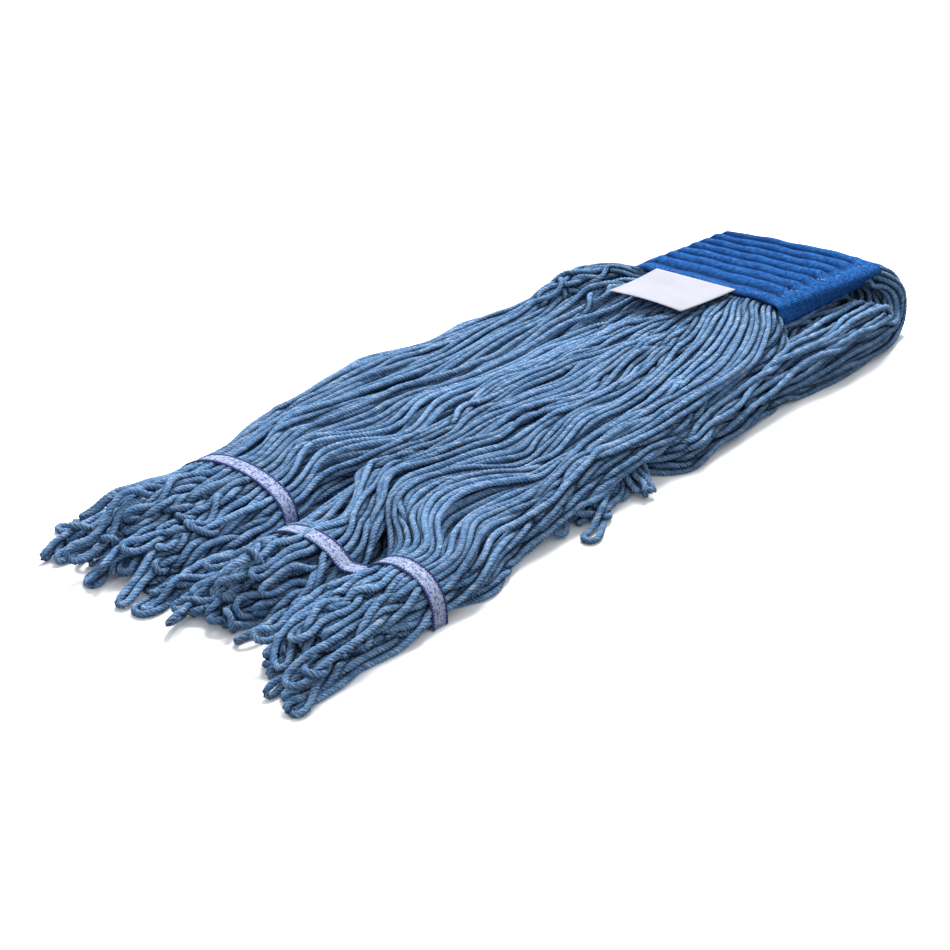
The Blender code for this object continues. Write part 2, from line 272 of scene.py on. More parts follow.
def make_knit_material(name, dark, mid, light, wale, course, depth, flecks, fleck_share):
    """A knitted cloth: rows of small V stitches, with colour that varies from yarn to yarn, and painted shade
    where a mesh attribute marks it.
    """
    material, tree, shader = new_material(name)
    calc = partial(math_node, tree)
    place = add_node(tree, "ShaderNodeUVMap", uv_map="Cloth").outputs["UV"]
    parts = add_node(tree, "ShaderNodeSeparateXYZ", {0: place})
    across = calc("MULTIPLY", parts.outputs["X"], 1.0 / wale)
    along = calc("MULTIPLY", parts.outputs["Y"], 1.0 / course)
    column = calc("PINGPONG", across, 0.5)
    slanted = calc("ADD", along, calc("MULTIPLY", column, 1.2))
    loops = calc("SINE", calc("MULTIPLY", slanted, math.tau))
    crests = calc("SINE", calc("MULTIPLY", calc("FRACT", across), math.pi))
    stitch = calc("ADD", calc("MULTIPLY", loops, 0.35), calc("MULTIPLY", crests, 0.6))
    uneven = noise(tree, place, (0.45 / wale, 0.3 / course, 1.0), 3.0)
    factor = calc("ADD", calc("MULTIPLY", stitch, 0.45), calc("MULTIPLY", uneven, 0.7))
    colour = ramp(tree, factor, ((0.22, dark), (0.48, mid), (0.80, light)))
    spots = noise(tree, place, (0.8 / wale, 0.5 / course, 1.0), 1.0)
    mask = ramp(tree, spots, ((0.52, (0.0, 0.0, 0.0)), (0.62, (1.0, 1.0, 1.0))))
    colour = mix_colour(tree, calc("MULTIPLY", mask, fleck_share), colour, flecks)
    # Painted shade: the colour goes towards the dark one where the mesh attribute marks shade, in the
    # headband's rib channels and down its sides.
    groove = mesh_attribute(tree, "PaintedShade")
    colour = mix_colour(tree, calc("MULTIPLY", groove, 0.92), colour, dark)
    set_inputs(tree, shader, {"Base Color": colour, "Roughness": 0.9, "Specular IOR Level": 0.08})
    bump(tree, shader, stitch, depth)
    return material


def make_thread_material(name, colour):
    """Spun thread with a fine twist."""
    material, tree, shader = new_material(name)
    place = add_node(tree, "ShaderNodeTexCoord").outputs["Object"]
    twist = noise(tree, place, 1800.0)
    dark = tuple(c * 0.6 for c in colour)
    set_inputs(tree, shader, {
        "Base Color": ramp(tree, twist, ((0.3, dark), (0.7, colour))), "Roughness": 0.7})
    bump(tree, shader, twist, 0.1 * MM)
    return material


def make_label_material():
    """Blank non-woven cloth, pale lavender white."""
    material, tree, shader = new_material("label_cloth")
    calc = partial(math_node, tree)
    place = add_node(tree, "ShaderNodeTexCoord").outputs["Object"]
    web = noise(tree, place, 900.0, 4.0)
    clouds = noise(tree, place, 45.0)
    blend = calc("ADD", calc("MULTIPLY", web, 0.5), calc("MULTIPLY", clouds, 0.5))
    colour = ramp(tree, blend, ((0.35, (0.275, 0.278, 0.320)), (0.65, (0.322, 0.325, 0.370))))
    set_inputs(tree, shader, {"Base Color": colour, "Roughness": 0.8})
    bump(tree, shader, web, 0.12 * MM)
    return material


# ---------------------------------------------------------------- curves


def lengths(line):
    """Length of each stretch between two points in a row."""
    return np.linalg.norm(np.diff(line, axis=0), axis=1)


def length_at(line):
    """Length along the line at each of its points."""
    return np.concatenate([[0.0], np.cumsum(lengths(line))])


def smooth_curve(points, step):
    """Evenly spaced points, about a step apart, on a smooth curve through the given points."""
    points = np.asarray(points, float)
    at = length_at(points)
    slope = np.gradient(points, at, axis=0)
    fine = np.linspace(0.0, at[-1], max(len(points) * 16, 64))
    k = np.clip(np.searchsorted(at, fine, side="right") - 1, 0, len(at) - 2)
    gap = (at[k + 1] - at[k])[:, None]
    u = (fine - at[k])[:, None] / gap
    curve = ((2 * u**3 - 3 * u**2 + 1) * points[k] + (u**3 - 2 * u**2 + u) * gap * slope[k]
             + (3 * u**2 - 2 * u**3) * points[k + 1] + (u**3 - u**2) * gap * slope[k + 1])
    return even_points(curve, step=step)


def even_points(curve, step=None, count=None):
    """The same polyline with points evenly spaced by length."""
    at = length_at(curve)
    if count is None:
        count = max(int(round(at[-1] / step)) + 1, 4)
    return resampled(np.linspace(0.0, at[-1], count), at, curve)


def resampled(want, at, values):
    """Rows of values, known at some places, read at others."""
    return np.stack([np.interp(want, at, values[:, axis]) for axis in range(3)], axis=1)


def smoothstep(value, low, high):
    t = np.clip((value - low) / (high - low), 0.0, 1.0)
    return t * t * (3 - 2 * t)


def wander(count, step, wavelength, size):
    """Smooth random sideways drift along a strand, in X, Y and Z."""
    knots = max(int(count * step / wavelength) + 3, 4)
    values = rng.normal(0.0, size, (knots, 3))
    at = np.linspace(0.0, knots - 1.0, count)
    k = np.minimum(at.astype(int), knots - 2)
    u = (at - k)[:, None]
    u = u * u * (3 - 2 * u)
    return values[k] * (1 - u) + values[k + 1] * u


# ---------------------------------------------------------------- shape of the headband and of the label

RIBS = 8
RIB_HEIGHT = 4.8 * MM
RIB_RINGS = 10
COVER_THICKNESS = 1.2 * MM
# How far the sewn headband's corners lie from a true rectangle, left and right, at its near and far edge.
NEAR_SHIFT = (-9.5 * MM, -4.6 * MM)
FAR_SHIFT = (-8.0 * MM, 8.5 * MM)
# How far the right side leans out at its foot, and how far the far left corner droops and is pulled in.
FOOT_SHIFT = 1.5 * MM
FAR_LEFT_DROOP = 3.5 * MM
FAR_LEFT_PULL = 5.0 * MM
COVER_NEAR = BAND_NEAR - 1.6 * MM
TOP_ROUND = 6.0 * MM
FOOT_ROUND = 5.0 * MM
STITCH_PITCH = 3.4 * MM
STITCH_LENGTH = 2.7 * MM
# Stitch rows with loose thread ends at their right, as shares of the headband's length, with their number.
THREAD_ENDS = ((1 / 8, 2), (2 / 8, 6), (4 / 8, 5), (5 / 8, 2), (7 / 8, 3))


def cover_edges(along):
    """Left and right edge of the headband's top at a share of its length."""
    left = BAND_LOW[0] + NEAR_SHIFT[0] * (1 - along) + FAR_SHIFT[0] * along
    right = BAND_HIGH[0] + NEAR_SHIFT[1] * (1 - along) + FAR_SHIFT[1] * along
    return left, right


def cover_top(across, along):
    """Height of the headband's top between its ribs: it droops at the far left corner and crowns a little."""
    droop = FAR_LEFT_DROOP * along**2 * (1 - across) ** 2
    sag = 0.35 * MM * np.sin(across * 17.0 + along * 9.0)
    ripple = 0.25 * MM * np.sin(across * 31.0 - along * 23.0)
    return BAND_TOP - 2.2 * MM - droop + 0.6 * MM * np.sin(np.pi * across) * along + (sag + ripple)


# Corners of the label in millimetres: sewn to the headband's near edge, and free above the yarn.
LABEL_THICKNESS = 0.35 * MM
LABEL_SEWN = ((-39.0, 202.5, 66.2), (35.0, 202.0, 66.2))
LABEL_FREE = ((-46.5, 149.5, 61.0), (21.5, 149.0, 60.5))
LABEL_SAG = 1.2
# The yarn within these bounds stays below the label.
LABEL_LEFT = -54 * MM
LABEL_RIGHT = 40 * MM
LABEL_END = 148 * MM
LABEL_GAP = 3.5 * MM


def label_height(points):
    """Height of the label above points on the floor plane."""
    near, height = LABEL_SEWN[0][1:]
    free = (near * MM - points[:, 1]) / ((near - LABEL_FREE[0][1]) * MM)
    across = (points[:, 0] - LABEL_LEFT) / (LABEL_RIGHT - LABEL_LEFT)
    drop = (height - LABEL_FREE[0][2]) * (1 - across) + (height - LABEL_FREE[1][2]) * across
    return (height - LABEL_SAG - drop * np.clip(free, 0, 1)) * MM


# ---------------------------------------------------------------- routes of the front half

# Height of the yarn's upper surface along Y, on the left of the mop head and on its right, in millimetres.
HEIGHT_Y = (-380, -340, -300, -250, -175, -125, -30, 50, 110, 155, 190, 204)
HEIGHT_LEFT = (12, 20, 26, 33, 31, 31, 32, 34, 38, 50, 58, 61)
HEIGHT_RIGHT = (15, 24, 30, 34, 34, 37, 40, 42, 46, 50, 58, 61)
# Height of what the lowest strands rest on, on the left and on the right.
REST_Y = (-165, -135, -100, -30, 50, 110, 155, 190, 204)
REST_LEFT = (3, 3, 3, 3, 3, 9, 30, 44, 49)
REST_RIGHT = (3, 13, 21, 24, 28, 31, 37, 45, 49)

# Routes of the top layer from the headband to the tail band, from left to right, in millimetres. Where a
# point has no height, the strand lies on the upper surface. Each has its place across the mop head first.
ROUTES = {
    "rim": (0.00, [
        (-30, 212, 55), (-48, 202, 57), (-64, 202, 59), (-80, 200, 58), (-92, 192, 55), (-104, 177, 49),
        (-110, 157, 44), (-113, 138, 40), (-121, 122, 36), (-134, 108, 33), (-143, 92, 30),
        (-139, 72, 28), (-134, 50, 27), (-138, 22, 27), (-146, 0, 26), (-149, -34, 26), (-144, -82, 26),
        (-140, -130, 26), (-135, -170, 25), (-131, -212, 14)]),
    "a": (0.06, [
        (-32, 212, 57), (-47, 201, 60), (-66, 200, 61), (-84, 192, 59), (-95, 175, 56), (-101, 152),
        (-110, 122), (-124, 96), (-128, 66), (-126, 36), (-135, 0), (-140, -40), (-132, -90),
        (-126, -135), (-120, -175), (-110, -212)]),
    "b": (0.24, [
        (-36, 212), (-47, 200), (-62, 192), (-78, 180), (-91, 152), (-91, 123), (-96, 84), (-89, 37),
        (-82, -7), (-81, -33), (-97, -84), (-105, -130), (-98, -185), (-93, -212)]),
    "c": (0.30, [
        (-30, 212), (-39, 198), (-51, 180), (-59, 164), (-65, 129), (-67, 94), (-71, 61), (-64, 13),
        (-65, -21), (-73, -45), (-72, -85), (-78, -119), (-85, -147), (-86, -178), (-83, -212)]),
    "d": (0.34, [
        (-6, 212), (-3, 195), (-5, 165), (-17, 142), (-38, 130), (-55, 110), (-57, 85), (-54, 60),
        (-52, 19), (-54, -9), (-57, -33), (-52, -68), (-49, -99), (-55, -118), (-69, -140), (-79, -161),
        (-74, -188), (-68, -212)]),
    "e": (0.41, [
        (10, 212), (14, 195), (18, 165), (14, 142), (-9, 130), (-17, 97), (-28, 71), (-30, 33),
        (-40, 13), (-34, -15), (-25, -45), (-11, -83), (-11, -114), (-18, -132), (-25, -151),
        (-43, -168), (-56, -188), (-52, -212)]),
    "left_gap": (0.48, [
        (13, 212), (16, 195), (19, 168), (16, 145), (4, 125), (-3, 92), (-12, 62), (-11, 26), (-19, 4),
        (-17, -24), (-15, -57), (-4, -92), (-4, -120), (-14, -138), (-22, -155, 26), (-35, -174, 16),
        (-40, -194, 12), (-35, -212, 12)]),
    "right_gap": (0.485, [
        (13, 212), (16, 195), (19, 168), (16, 145), (4, 125), (-3, 92), (-12, 62), (-11, 26), (-19, 4),
        (-17, -24), (-15, -57), (-4, -92), (-4, -120), (-13, -142), (-25, -165, 19), (-30, -190, 9),
        (-23, -222, 7), (-8, -258, 9)]),
    "f": (0.55, [
        (16, 212), (18, 195), (20, 170), (17, 149), (14, 120), (11, 86), (4, 53), (9, 19), (2, -5),
        (-1, -33), (-5, -69), (6, -101), (4, -132), (-9, -147), (-9, -163), (6, -186), (25, -217),
        (36, -240), (40, -258)]),
    "g": (0.665, [
        (22, 212), (25, 195), (25, 166), (25, 126), (28, 87), (39, 41), (39, 7), (29, -6), (19, -41),
        (25, -77), (21, -99), (16, -133), (8, -153), (17, -176), (38, -207), (48, -232), (53, -258)]),
    "left_split": (0.70, [
        (24, 212), (25, 196), (24, 172), (28, 138), (36, 98), (47, 50), (47, 14), (42, -12), (42, -48),
        (46, -86), (36, -110), (27, -136), (19, -158), (31, -184), (48, -212), (55, -235),
        (56, -258, 24)]),
    "right_split": (0.705, [
        (24, 212), (25, 196), (24, 172), (28, 138), (36, 98), (47, 50), (47, 14), (43, -12), (44, -48),
        (48, -86), (40, -112), (29, -137), (22, -160), (38, -190), (58, -216), (74, -236),
        (80, -252, 26)]),
    "h": (0.76, [
        (28, 212), (25, 198), (22, 184), (30, 156), (43, 112), (55, 63), (56, 26), (56, -13), (66, -55),
        (70, -92), (57, -116), (39, -138), (32, -162), (46, -192), (62, -210), (85, -232), (100, -252)]),
    "i": (0.83, [
        (38, 212), (35, 199), (45, 175), (59, 138), (71, 70), (78, 16), (79, -28), (88, -84), (84, -110),
        (72, -123), (64, -142), (59, -168), (69, -193), (86, -215), (100, -232), (109, -252)]),
    "j": (0.905, [
        (50, 212), (47, 200), (61, 182), (78, 141), (90, 77), (90, 30), (92, -17), (94, -61),
        (106, -109), (104, -135), (96, -162), (97, -183), (109, -204), (120, -218), (121, -234),
        (117, -252)]),
    "k": (0.96, [
        (63, 212), (63, 200), (80, 183), (94, 158, 46), (102, 106, 42), (103, 57, 40), (104, 9, 39),
        (103, -33, 38), (104, -72, 35), (106, -114, 27), (106, -143, 24), (108, -165, 24),
        (116, -187, 25), (126, -208, 25), (127, -230, 23), (126, -252, 22)]),
    "brim": (1.00, [
        (71, 212, 53), (74, 202, 52), (83, 198, 47), (92, 185, 38), (100, 157, 32), (104, 104, 30),
        (99, 63, 30), (96, 42, 30), (106, -27, 28), (105, -54, 26), (104, -80, 21), (102, -104, 15),
        (101, -134, 10), (106, -158, 7), (122, -190, 6), (127, -224, 7), (127, -252, 9)]),
}
# The three clusters that the front tail band ties, in millimetres: the span and height of its arch, how
# steep the arch's left half is, how far before the band the yarn gathers, and the span of the loops' tips
# in X and Y. A row has its first and last place across the mop head and its number of strands.
CLUSTERS = {
    "left": {
        "routes": ("rim", "a", "b", "c", "d", "e", "left_gap"),
        "across": (-137, -30), "height": 34, "slope": 1.25, "gather": 75,
        "rows": (
            (0.01, 0.475, 25), (0.00, 0.47, 23), (0.00, 0.475, 19), (0.01, 0.47, 18), (0.02, 0.46, 17)),
        "tips": (-139, -14), "tip_y": (-366, -364)},
    "middle": {
        "routes": ("right_gap", "f", "g", "left_split"),
        "across": (-9, 63), "height": 34, "slope": 0.72, "gather": 38,
        "rows": (
            (0.487, 0.695, 13), (0.485, 0.69, 12), (0.485, 0.695, 11), (0.49, 0.69, 9), (0.49, 0.68, 7)),
        "tips": (-12, 62), "tip_y": (-362, -358)},
    "right": {
        "routes": ("right_split", "h", "i", "j", "k", "brim"),
        "across": (71, 130), "height": 35, "slope": 0.72, "gather": 55,
        "rows": (
            (0.708, 0.97, 18), (0.705, 1.0, 17), (0.705, 1.0, 15), (0.71, 1.0, 11), (0.72, 0.99, 9)),
        "tips": (76, 130), "tip_y": (-366, -384)},
}
SIDES = tuple(CLUSTERS)
ROUTE_COUNT = 120
# Near the headband the lower rows lie evenly across the mop head, below the bunches of the top layer.
EVEN_Y = (30, 110)
EVEN_LEFT = (-124, -50)
EVEN_RIGHT = (92, 70)
EVEN_SHARES = (0.08, 0.6, 0.9, 1.0, 1.0)
# Height of an arch's feet, in millimetres, and how steep its right half is.
ARCH_BASE = 3.2
ARCH_SLOPE = 0.72
# Locks of strands across the mop head, and how far one drifts sideways and in height, in millimetres.
LOCKS = 15
LOCK_DRIFT = (3.0, 0.0, 2.4)
# The lower rows of two clusters lean towards the valley between them: cluster, edge, lean and place on Y.
LEANS = (
    ("left", 0.475, 7, -185), ("middle", 0.487, -9, -192),
    ("middle", 0.695, 10, -230), ("right", 0.708, -10, -230))
# The yarn beside the label lies in loose curls: the places across the mop head, and the share that curls.
CURLED_PLACES = (0.02, 0.30)
CURLED_SHARE = 0.7
# Places near the left edge, where the curls reach less far out.
EDGE_PLACES = 0.12
# Share of the strands with a kink elsewhere, in the top row and in the others.
KINKED_SHARE = (0.16, 0.05)
# How far strands ride over their route's upper surface, and how far a lock may rise, in millimetres.
RIDE_OVER = 2.0
LOCK_RISE = 1.0


def top_height(x, y):
    """Height in millimetres of the top layer's strand centres."""
    left = np.interp(y, HEIGHT_Y, HEIGHT_LEFT)
    right = np.interp(y, HEIGHT_Y, HEIGHT_RIGHT)
    return left + (right - left) * np.clip((x + 60) / 50, 0, 1) - 2.0


def rest_height(x, y):
    """Height in millimetres of the lowest strand centres."""
    left = np.interp(y, REST_Y, REST_LEFT)
    right = np.interp(y, REST_Y, REST_RIGHT)
    return left + (right - left) * smoothstep(x, -50, -22)


def route_line(points):
    full = [(*p, top_height(*p)) if len(p) == 2 else p for p in points]
    return even_points(smooth_curve(full, 3.0), count=ROUTE_COUNT)


def route_between(cluster, place):
    """The top layer's line at a place across the mop head, from the cluster's routes beside it."""
    places = [ROUTES[name][0] for name in cluster["routes"]]
    k = int(np.clip(np.searchsorted(places, place, side="right") - 1, 0, len(places) - 2))
    share = (place - places[k]) / (places[k + 1] - places[k])
    lines = cluster["lines"]
    return lines[k] * (1 - share) + lines[k + 1] * share


def tail_y(side):
    """The middle of the tail band over a cluster, which ends where the cluster's loops begin."""
    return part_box("front_yarn_" + side)[0][1] / MM + TAPE_WIDTH / MM / 2 + 0.3


def arch_point(cluster, inset, angle):
    """A point on the arch of yarn under the tail band, from its left foot, at angle 0, to its right foot."""
    left, right = cluster["across"]
    half = (right - left) / 2 - inset
    rise = cluster["height"] - ARCH_BASE - inset
    bulge = abs(math.sin(angle)) ** (cluster["slope"] if angle < math.pi / 2 else ARCH_SLOPE)
    return (left + right) / 2 - math.cos(angle) * half, ARCH_BASE + max(rise, 2.0) * bulge


def tail_slots(cluster, wanted):
    """Places for the strands under the tail band, in nested arches from the outside in."""
    left, right = cluster["across"]
    steps = np.linspace(0.04, 0.96, 60)
    pitch = 6.5
    while True:
        layers = []
        inset = 2.7
        while cluster["height"] - inset > 5.0 and (right - left) / 2 - inset > 4.0:
            line = np.array([(*arch_point(cluster, inset, math.pi * t), 0.0) for t in steps])
            count = max(int(lengths(line).sum() / pitch) + 1, 2)
            layers.append(even_points(line, count=count)[:, :2])
            inset += pitch * 0.86
        if sum(len(layer) for layer in layers) >= wanted:
            return layers
        pitch -= 0.1


def lock_drifts(count):
    """The drift that the strands of each lock share, sideways and in height."""
    step, wavelength = 4.2, 75.0
    return [wander(ROUTE_COUNT, step, wavelength, 1.0) * LOCK_DRIFT for _ in range(count)]


def kink(line, at, length, size, lift):
    """An S-bend about a place along Y, in a strand that lies over its neighbours there."""
    along = (line[:, 1] - at) / length
    near = np.exp(-along**2)
    line[:, 0] += size * near * np.sin(2.6 * along)
    line[:, 2] += lift * near


def spread_evenly(line, place, weight):
    """X along a line, shifted near the headband towards an even spread across the mop head."""
    near = smoothstep(line[:, 1], 190, 206)
    low = EVEN_LEFT[0] + (EVEN_LEFT[1] - EVEN_LEFT[0]) * near
    high = EVEN_RIGHT[0] + (EVEN_RIGHT[1] - EVEN_RIGHT[0]) * near
    even = low + (high - low) * place
    share = weight * smoothstep(line[:, 1], *EVEN_Y)
    return line[:, 0] * (1 - share) + even * share


def order_strands(strands, layers):
    """Strands with their places under the tail band, ordered so that neighbours there pair up."""
    ordered = []
    start = 0
    for number, layer in enumerate(layers):
        chosen = sorted(strands[start:start + len(layer)], key=lambda item: item[1])
        start += len(layer)
        picks = np.linspace(0, len(layer) - 1, len(chosen)).round().astype(int)
        pairs = list(zip(chosen, layer[picks]))
        ordered += pairs if number % 2 == 0 else pairs[::-1]
    return ordered


def add_kinks(line, row, place):
    """Loose curls beside the label, and a few kinks elsewhere."""
    curled = row < 2 and CURLED_PLACES[0] < place < CURLED_PLACES[1]
    if curled and rng.uniform() < CURLED_SHARE:
        size = rng.uniform(7, 15) * rng.choice((-1, 1)) * (0.45 if place < EDGE_PLACES else 1.0)
        kink(line, rng.uniform(146, 184), rng.uniform(12, 20), size, rng.uniform(4, 9))
    if rng.uniform() < KINKED_SHARE[row > 0]:
        kink(line, rng.uniform(-120, 130), rng.uniform(16, 28), rng.uniform(-6, 6), rng.uniform(2, 4))


def tie(line, slot, band_y, gather):
    """Gathers a strand towards its place under a tail band, and ends it there."""
    share = smoothstep(line[:, 1], band_y + gather, band_y + 8)[:, None]
    goal = np.array([slot[0], band_y, slot[1]])
    line[:, [0, 2]] = line[:, [0, 2]] * (1 - share) + goal[[0, 2]] * share
    return np.vstack([line[line[:, 1] > band_y + 7], goal + (0, 4, 0), goal - (0, 4, 0)]), goal


def front_strands(side):
    """A cluster's strands as (row, route in millimetres, place under the tail band), pair by pair."""
    cluster = CLUSTERS[side]
    cluster["lines"] = [route_line(ROUTES[name][1]) for name in cluster["routes"]]
    strands = []
    for row, (first, last, count) in enumerate(cluster["rows"]):
        for i in range(count):
            place = first + (last - first) * (i + 0.5 * (row % 2)) / (count - 0.5)
            strands.append((row, place + rng.normal(0, 0.002), row + rng.uniform(-0.15, 0.15)))
    ordered = order_strands(strands, tail_slots(cluster, len(strands)))
    rows = len(cluster["rows"])
    edges = [ROUTES[cluster["routes"][k]][0] for k in (0, -1)]
    band_y = tail_y(side)
    locks = lock_drifts(LOCKS + rows)
    lines = []
    for (row, place, depth), slot in ordered:
        place = float(np.clip(place, *edges))
        line = route_between(cluster, place).copy()
        line[:, 0] = spread_evenly(line, place, EVEN_SHARES[row])
        top = np.minimum(line[:, 2], top_height(line[:, 0], line[:, 1]) + RIDE_OVER)
        low = np.minimum(rest_height(line[:, 0], line[:, 1]), top - 1.0)
        line[:, 2] = top - (top - low) * np.clip(depth, 0, None) / (rows - 1)
        drift = locks[int(place * LOCKS + 0.4 * (row // 2))]
        loose = smoothstep(line[:, 1], 198, 168) * smoothstep(line[:, 1], band_y + 15, band_y + 60)
        line[:, 0] += drift[:, 0] * loose
        line[:, 2] += np.minimum(drift[:, 2], LOCK_RISE) * loose
        for name, edge, lean, y in LEANS:
            if name == side and row > 1:
                nearness = np.clip(1 - abs(place - edge) / 0.07, 0, 1) * np.exp(-((line[:, 1] - y) / 36) ** 2)
                line[:, 0] += lean * nearness
                line[:, 2] -= 6 * nearness
        add_kinks(line, row, place)
        lines.append((row, *tie(line, slot, band_y, cluster["gather"])))
    return lines


# A loop's strands lie this far from its middle before they widen into its eye, in millimetres.
LOOP_HALF = 3.0
EYE_HALF = (4.6, 8.2)
STRAY = 5.0


def loop_line(start, end, tip, fall=1.7):
    """A looped end from one strand to its neighbour: out to the tip, round a small eye and back."""
    middle = (start + end) / 2
    axis = tip - middle
    flat = np.array([axis[0], axis[1], 0.0])
    reach = np.linalg.norm(flat)
    side = np.array([-flat[1], flat[0], 0.0]) / reach
    if np.dot(end - start, side) < 0:
        side = -side
    roll = rng.normal(0.0, 0.9)
    side = side * math.cos(roll) + np.array([0.0, 0.0, 1.0]) * math.sin(roll)
    eye = rng.uniform(*EYE_HALF)
    count = max(int(reach / 4), 16)
    step = reach / count
    t = np.linspace(0.0, 1.0, count)
    puff = 3.0 * np.sin(np.pi * np.clip(t * 1.2, 0, 1))
    centre = middle + axis * t[:, None]
    centre[:, 2] = middle[2] + (tip[2] - middle[2]) * t**fall + puff
    centre += wander(count, step, 38.0, STRAY) * (t**1.4 * (1.25 - t) * 3.2)[:, None]
    turn = 1 - 1.3 * eye / reach
    width = np.where(
        t < turn,
        LOOP_HALF + (eye - LOOP_HALF) * smoothstep(t, turn - 14 / reach, turn),
        eye * np.sqrt(np.clip(1 - ((t - turn) / (1 - turn)) ** 2, 0, 1)))
    base = (end - start) / 2
    near = smoothstep(t, 0.3, 0.0)[:, None]
    spread = side * width[:, None] * (1 - near) + base * near
    apart = (t * (1 - t) * 4)[:, None]
    out = centre - spread + wander(count, step, 26.0, STRAY * 0.45) * apart
    back = centre + spread + wander(count, step, 26.0, STRAY * 0.45) * apart
    return np.vstack([out, back[::-1][1:]])


def loop_ends(first, second):
    """Where a loop leaves two strands, in front of the tail band."""
    return first[2] - (0, 6, 0), second[2] - (0, 6, 0)


def whole_loop(first, second, loop):
    """Down one strand, round the looped end and back up the other."""
    return np.vstack([first[1][:-1], loop, second[1][:-1][::-1]])


def front_loops():
    """Every loop of the front half, as (side, row, polyline in millimetres)."""
    loops = []
    for side in SIDES:
        cluster = CLUSTERS[side]
        strands = front_strands(side)
        left, right = cluster["across"]
        for first, second in zip(strands[0::2], strands[1::2]):
            start, end = loop_ends(first, second)
            share = (start[0] + end[0] - 2 * left) / (2 * (right - left))
            height = (start[2] + end[2]) / 2 / cluster["height"]
            place = float(np.clip(share + rng.normal(0, 0.11), 0, 1))
            tip_x = cluster["tips"][0] + (cluster["tips"][1] - cluster["tips"][0]) * place
            far_y = cluster["tip_y"][0] + (cluster["tip_y"][1] - cluster["tip_y"][0]) * place
            if side == "left":
                far_y += 22 * smoothstep(place, 0.38, 0.0)
            far = np.array([tip_x, far_y + rng.uniform(0, 8), 0.0])
            # The lower loops reach further, and the upper ones end higher on them.
            low = height < 0.5
            reach = rng.uniform(0.70, 1.02) if low else rng.uniform(0.50, 0.96)
            level = 1.15 - 0.85 * reach if low else 1.36 - 0.84 * reach
            middle = (start + end) / 2
            tip = middle + (far - middle) * reach
            outer = abs(2 * place - 1) ** 3
            level *= 1 - 0.8 * outer
            rise = cluster["height"] * level * min(height + 0.3, 1.0) + rng.normal(0, 3)
            tip[2] = max(3.5, rise)
            loop = loop_line(start, end, tip, 1.7 - 1.1 * outer)
            loops.append((side, min(first[0], second[0]), whole_loop(first, second, loop)))
    return loops


# ---------------------------------------------------------------- routes of the back half

# The back half's two edges seen from above, from the curl to the hidden tail band, in millimetres.
BACK_LEFT = (
    (-52, 352), (-51, 330), (-50, 290), (-48, 250), (-38, 210), (-24, 175), (-22, 110), (-22, 50), (-20, 0))
BACK_RIGHT = (
    (100, 352), (106, 325), (111, 290), (111, 260), (113, 228), (108, 202), (104, 178),
    (104, 152), (107, 122), (114, 90), (112, 66), (119, 34), (118, 14), (108, 0))
# First and last place across the half, and number of strands, of each row from the floor up.
BACK_ROWS = (
    (0.0, 1.0, 28), (0.01, 1.0, 27), (0.0, 1.0, 27), (0.01, 1.0, 26), (0.0, 1.0, 25), (0.01, 1.0, 24),
    (0.15, 1.0, 19))
# X of the half's edges in the headband and under its tail band, and the span of its loops' tips in X and Y.
BACK_SPREAD = (-51, 81)
BACK_TIED = (-19, 89)
BACK_TIPS = (-26, 124)
BACK_TIP_Y = (-124, -92)
# Height of the strand centres that lie on the floor.
FLOOR_ROW = 2.6
# Height of the back half's upper surface along Y, in millimetres.
BACK_TOP_Y = (-130, -100, -60, -10, 50, 110, 155, 200, 250, 300, 334)
BACK_TOP = (8, 15, 19, 22, 26, 29, 32, 38, 43, 43, 40)


def edge_line(points):
    full = [(*p, 0.0) for p in points]
    return even_points(smooth_curve(full, 3.0), count=ROUTE_COUNT)


def back_strand(place, row, rows, left, right):
    """From inside the headband over the curl and back underneath, to the hidden tail band."""
    depth = row / (rows - 1)
    x_band = BACK_SPREAD[0] + (BACK_SPREAD[1] - BACK_SPREAD[0]) * place
    left_edge, right_edge = cover_edges(1.0)
    across = (x_band * MM - left_edge) / (right_edge - left_edge)
    roof = (cover_top(across, 1.0) - COVER_THICKNESS) / MM - 3.2
    high = roof - (roof - BAND_BOTTOM / MM - 5.0) * depth
    low = FLOOR_ROW + 19.0 * depth
    far = CURL_FAR / MM - STRAND_RADIUS / MM - 1.5 - 15.0 * depth
    turn = CURL_END / MM
    run = left * (1 - place) + right * place
    start = [(x_band, BAND_FAR / MM - y, high) for y in (15.0, 6.0)]
    arc = []
    for angle in np.radians(np.arange(80, -91, -20)):
        x = x_band + (run[0][0] - x_band) * ((1 - math.sin(angle)) / 2) ** 0.6
        y = turn + (far - turn) * math.cos(angle)
        z = (high + low) / 2 + (high - low) / 2 * math.sin(angle)
        arc.append((x, y, z))
    under = run[run[:, 1] < turn - 12]
    top = np.interp(under[:, 1], BACK_TOP_Y, BACK_TOP) - STRAND_RADIUS / MM
    under = np.column_stack([under[:, :2], FLOOR_ROW + (top - FLOOR_ROW) * depth])
    if row > 2 and place > 0.7 and rng.uniform() < 0.4:
        kink(under, rng.uniform(20, 200), rng.uniform(12, 24), rng.uniform(-10, 10), rng.uniform(2, 8))
    return np.vstack([start, arc, under])


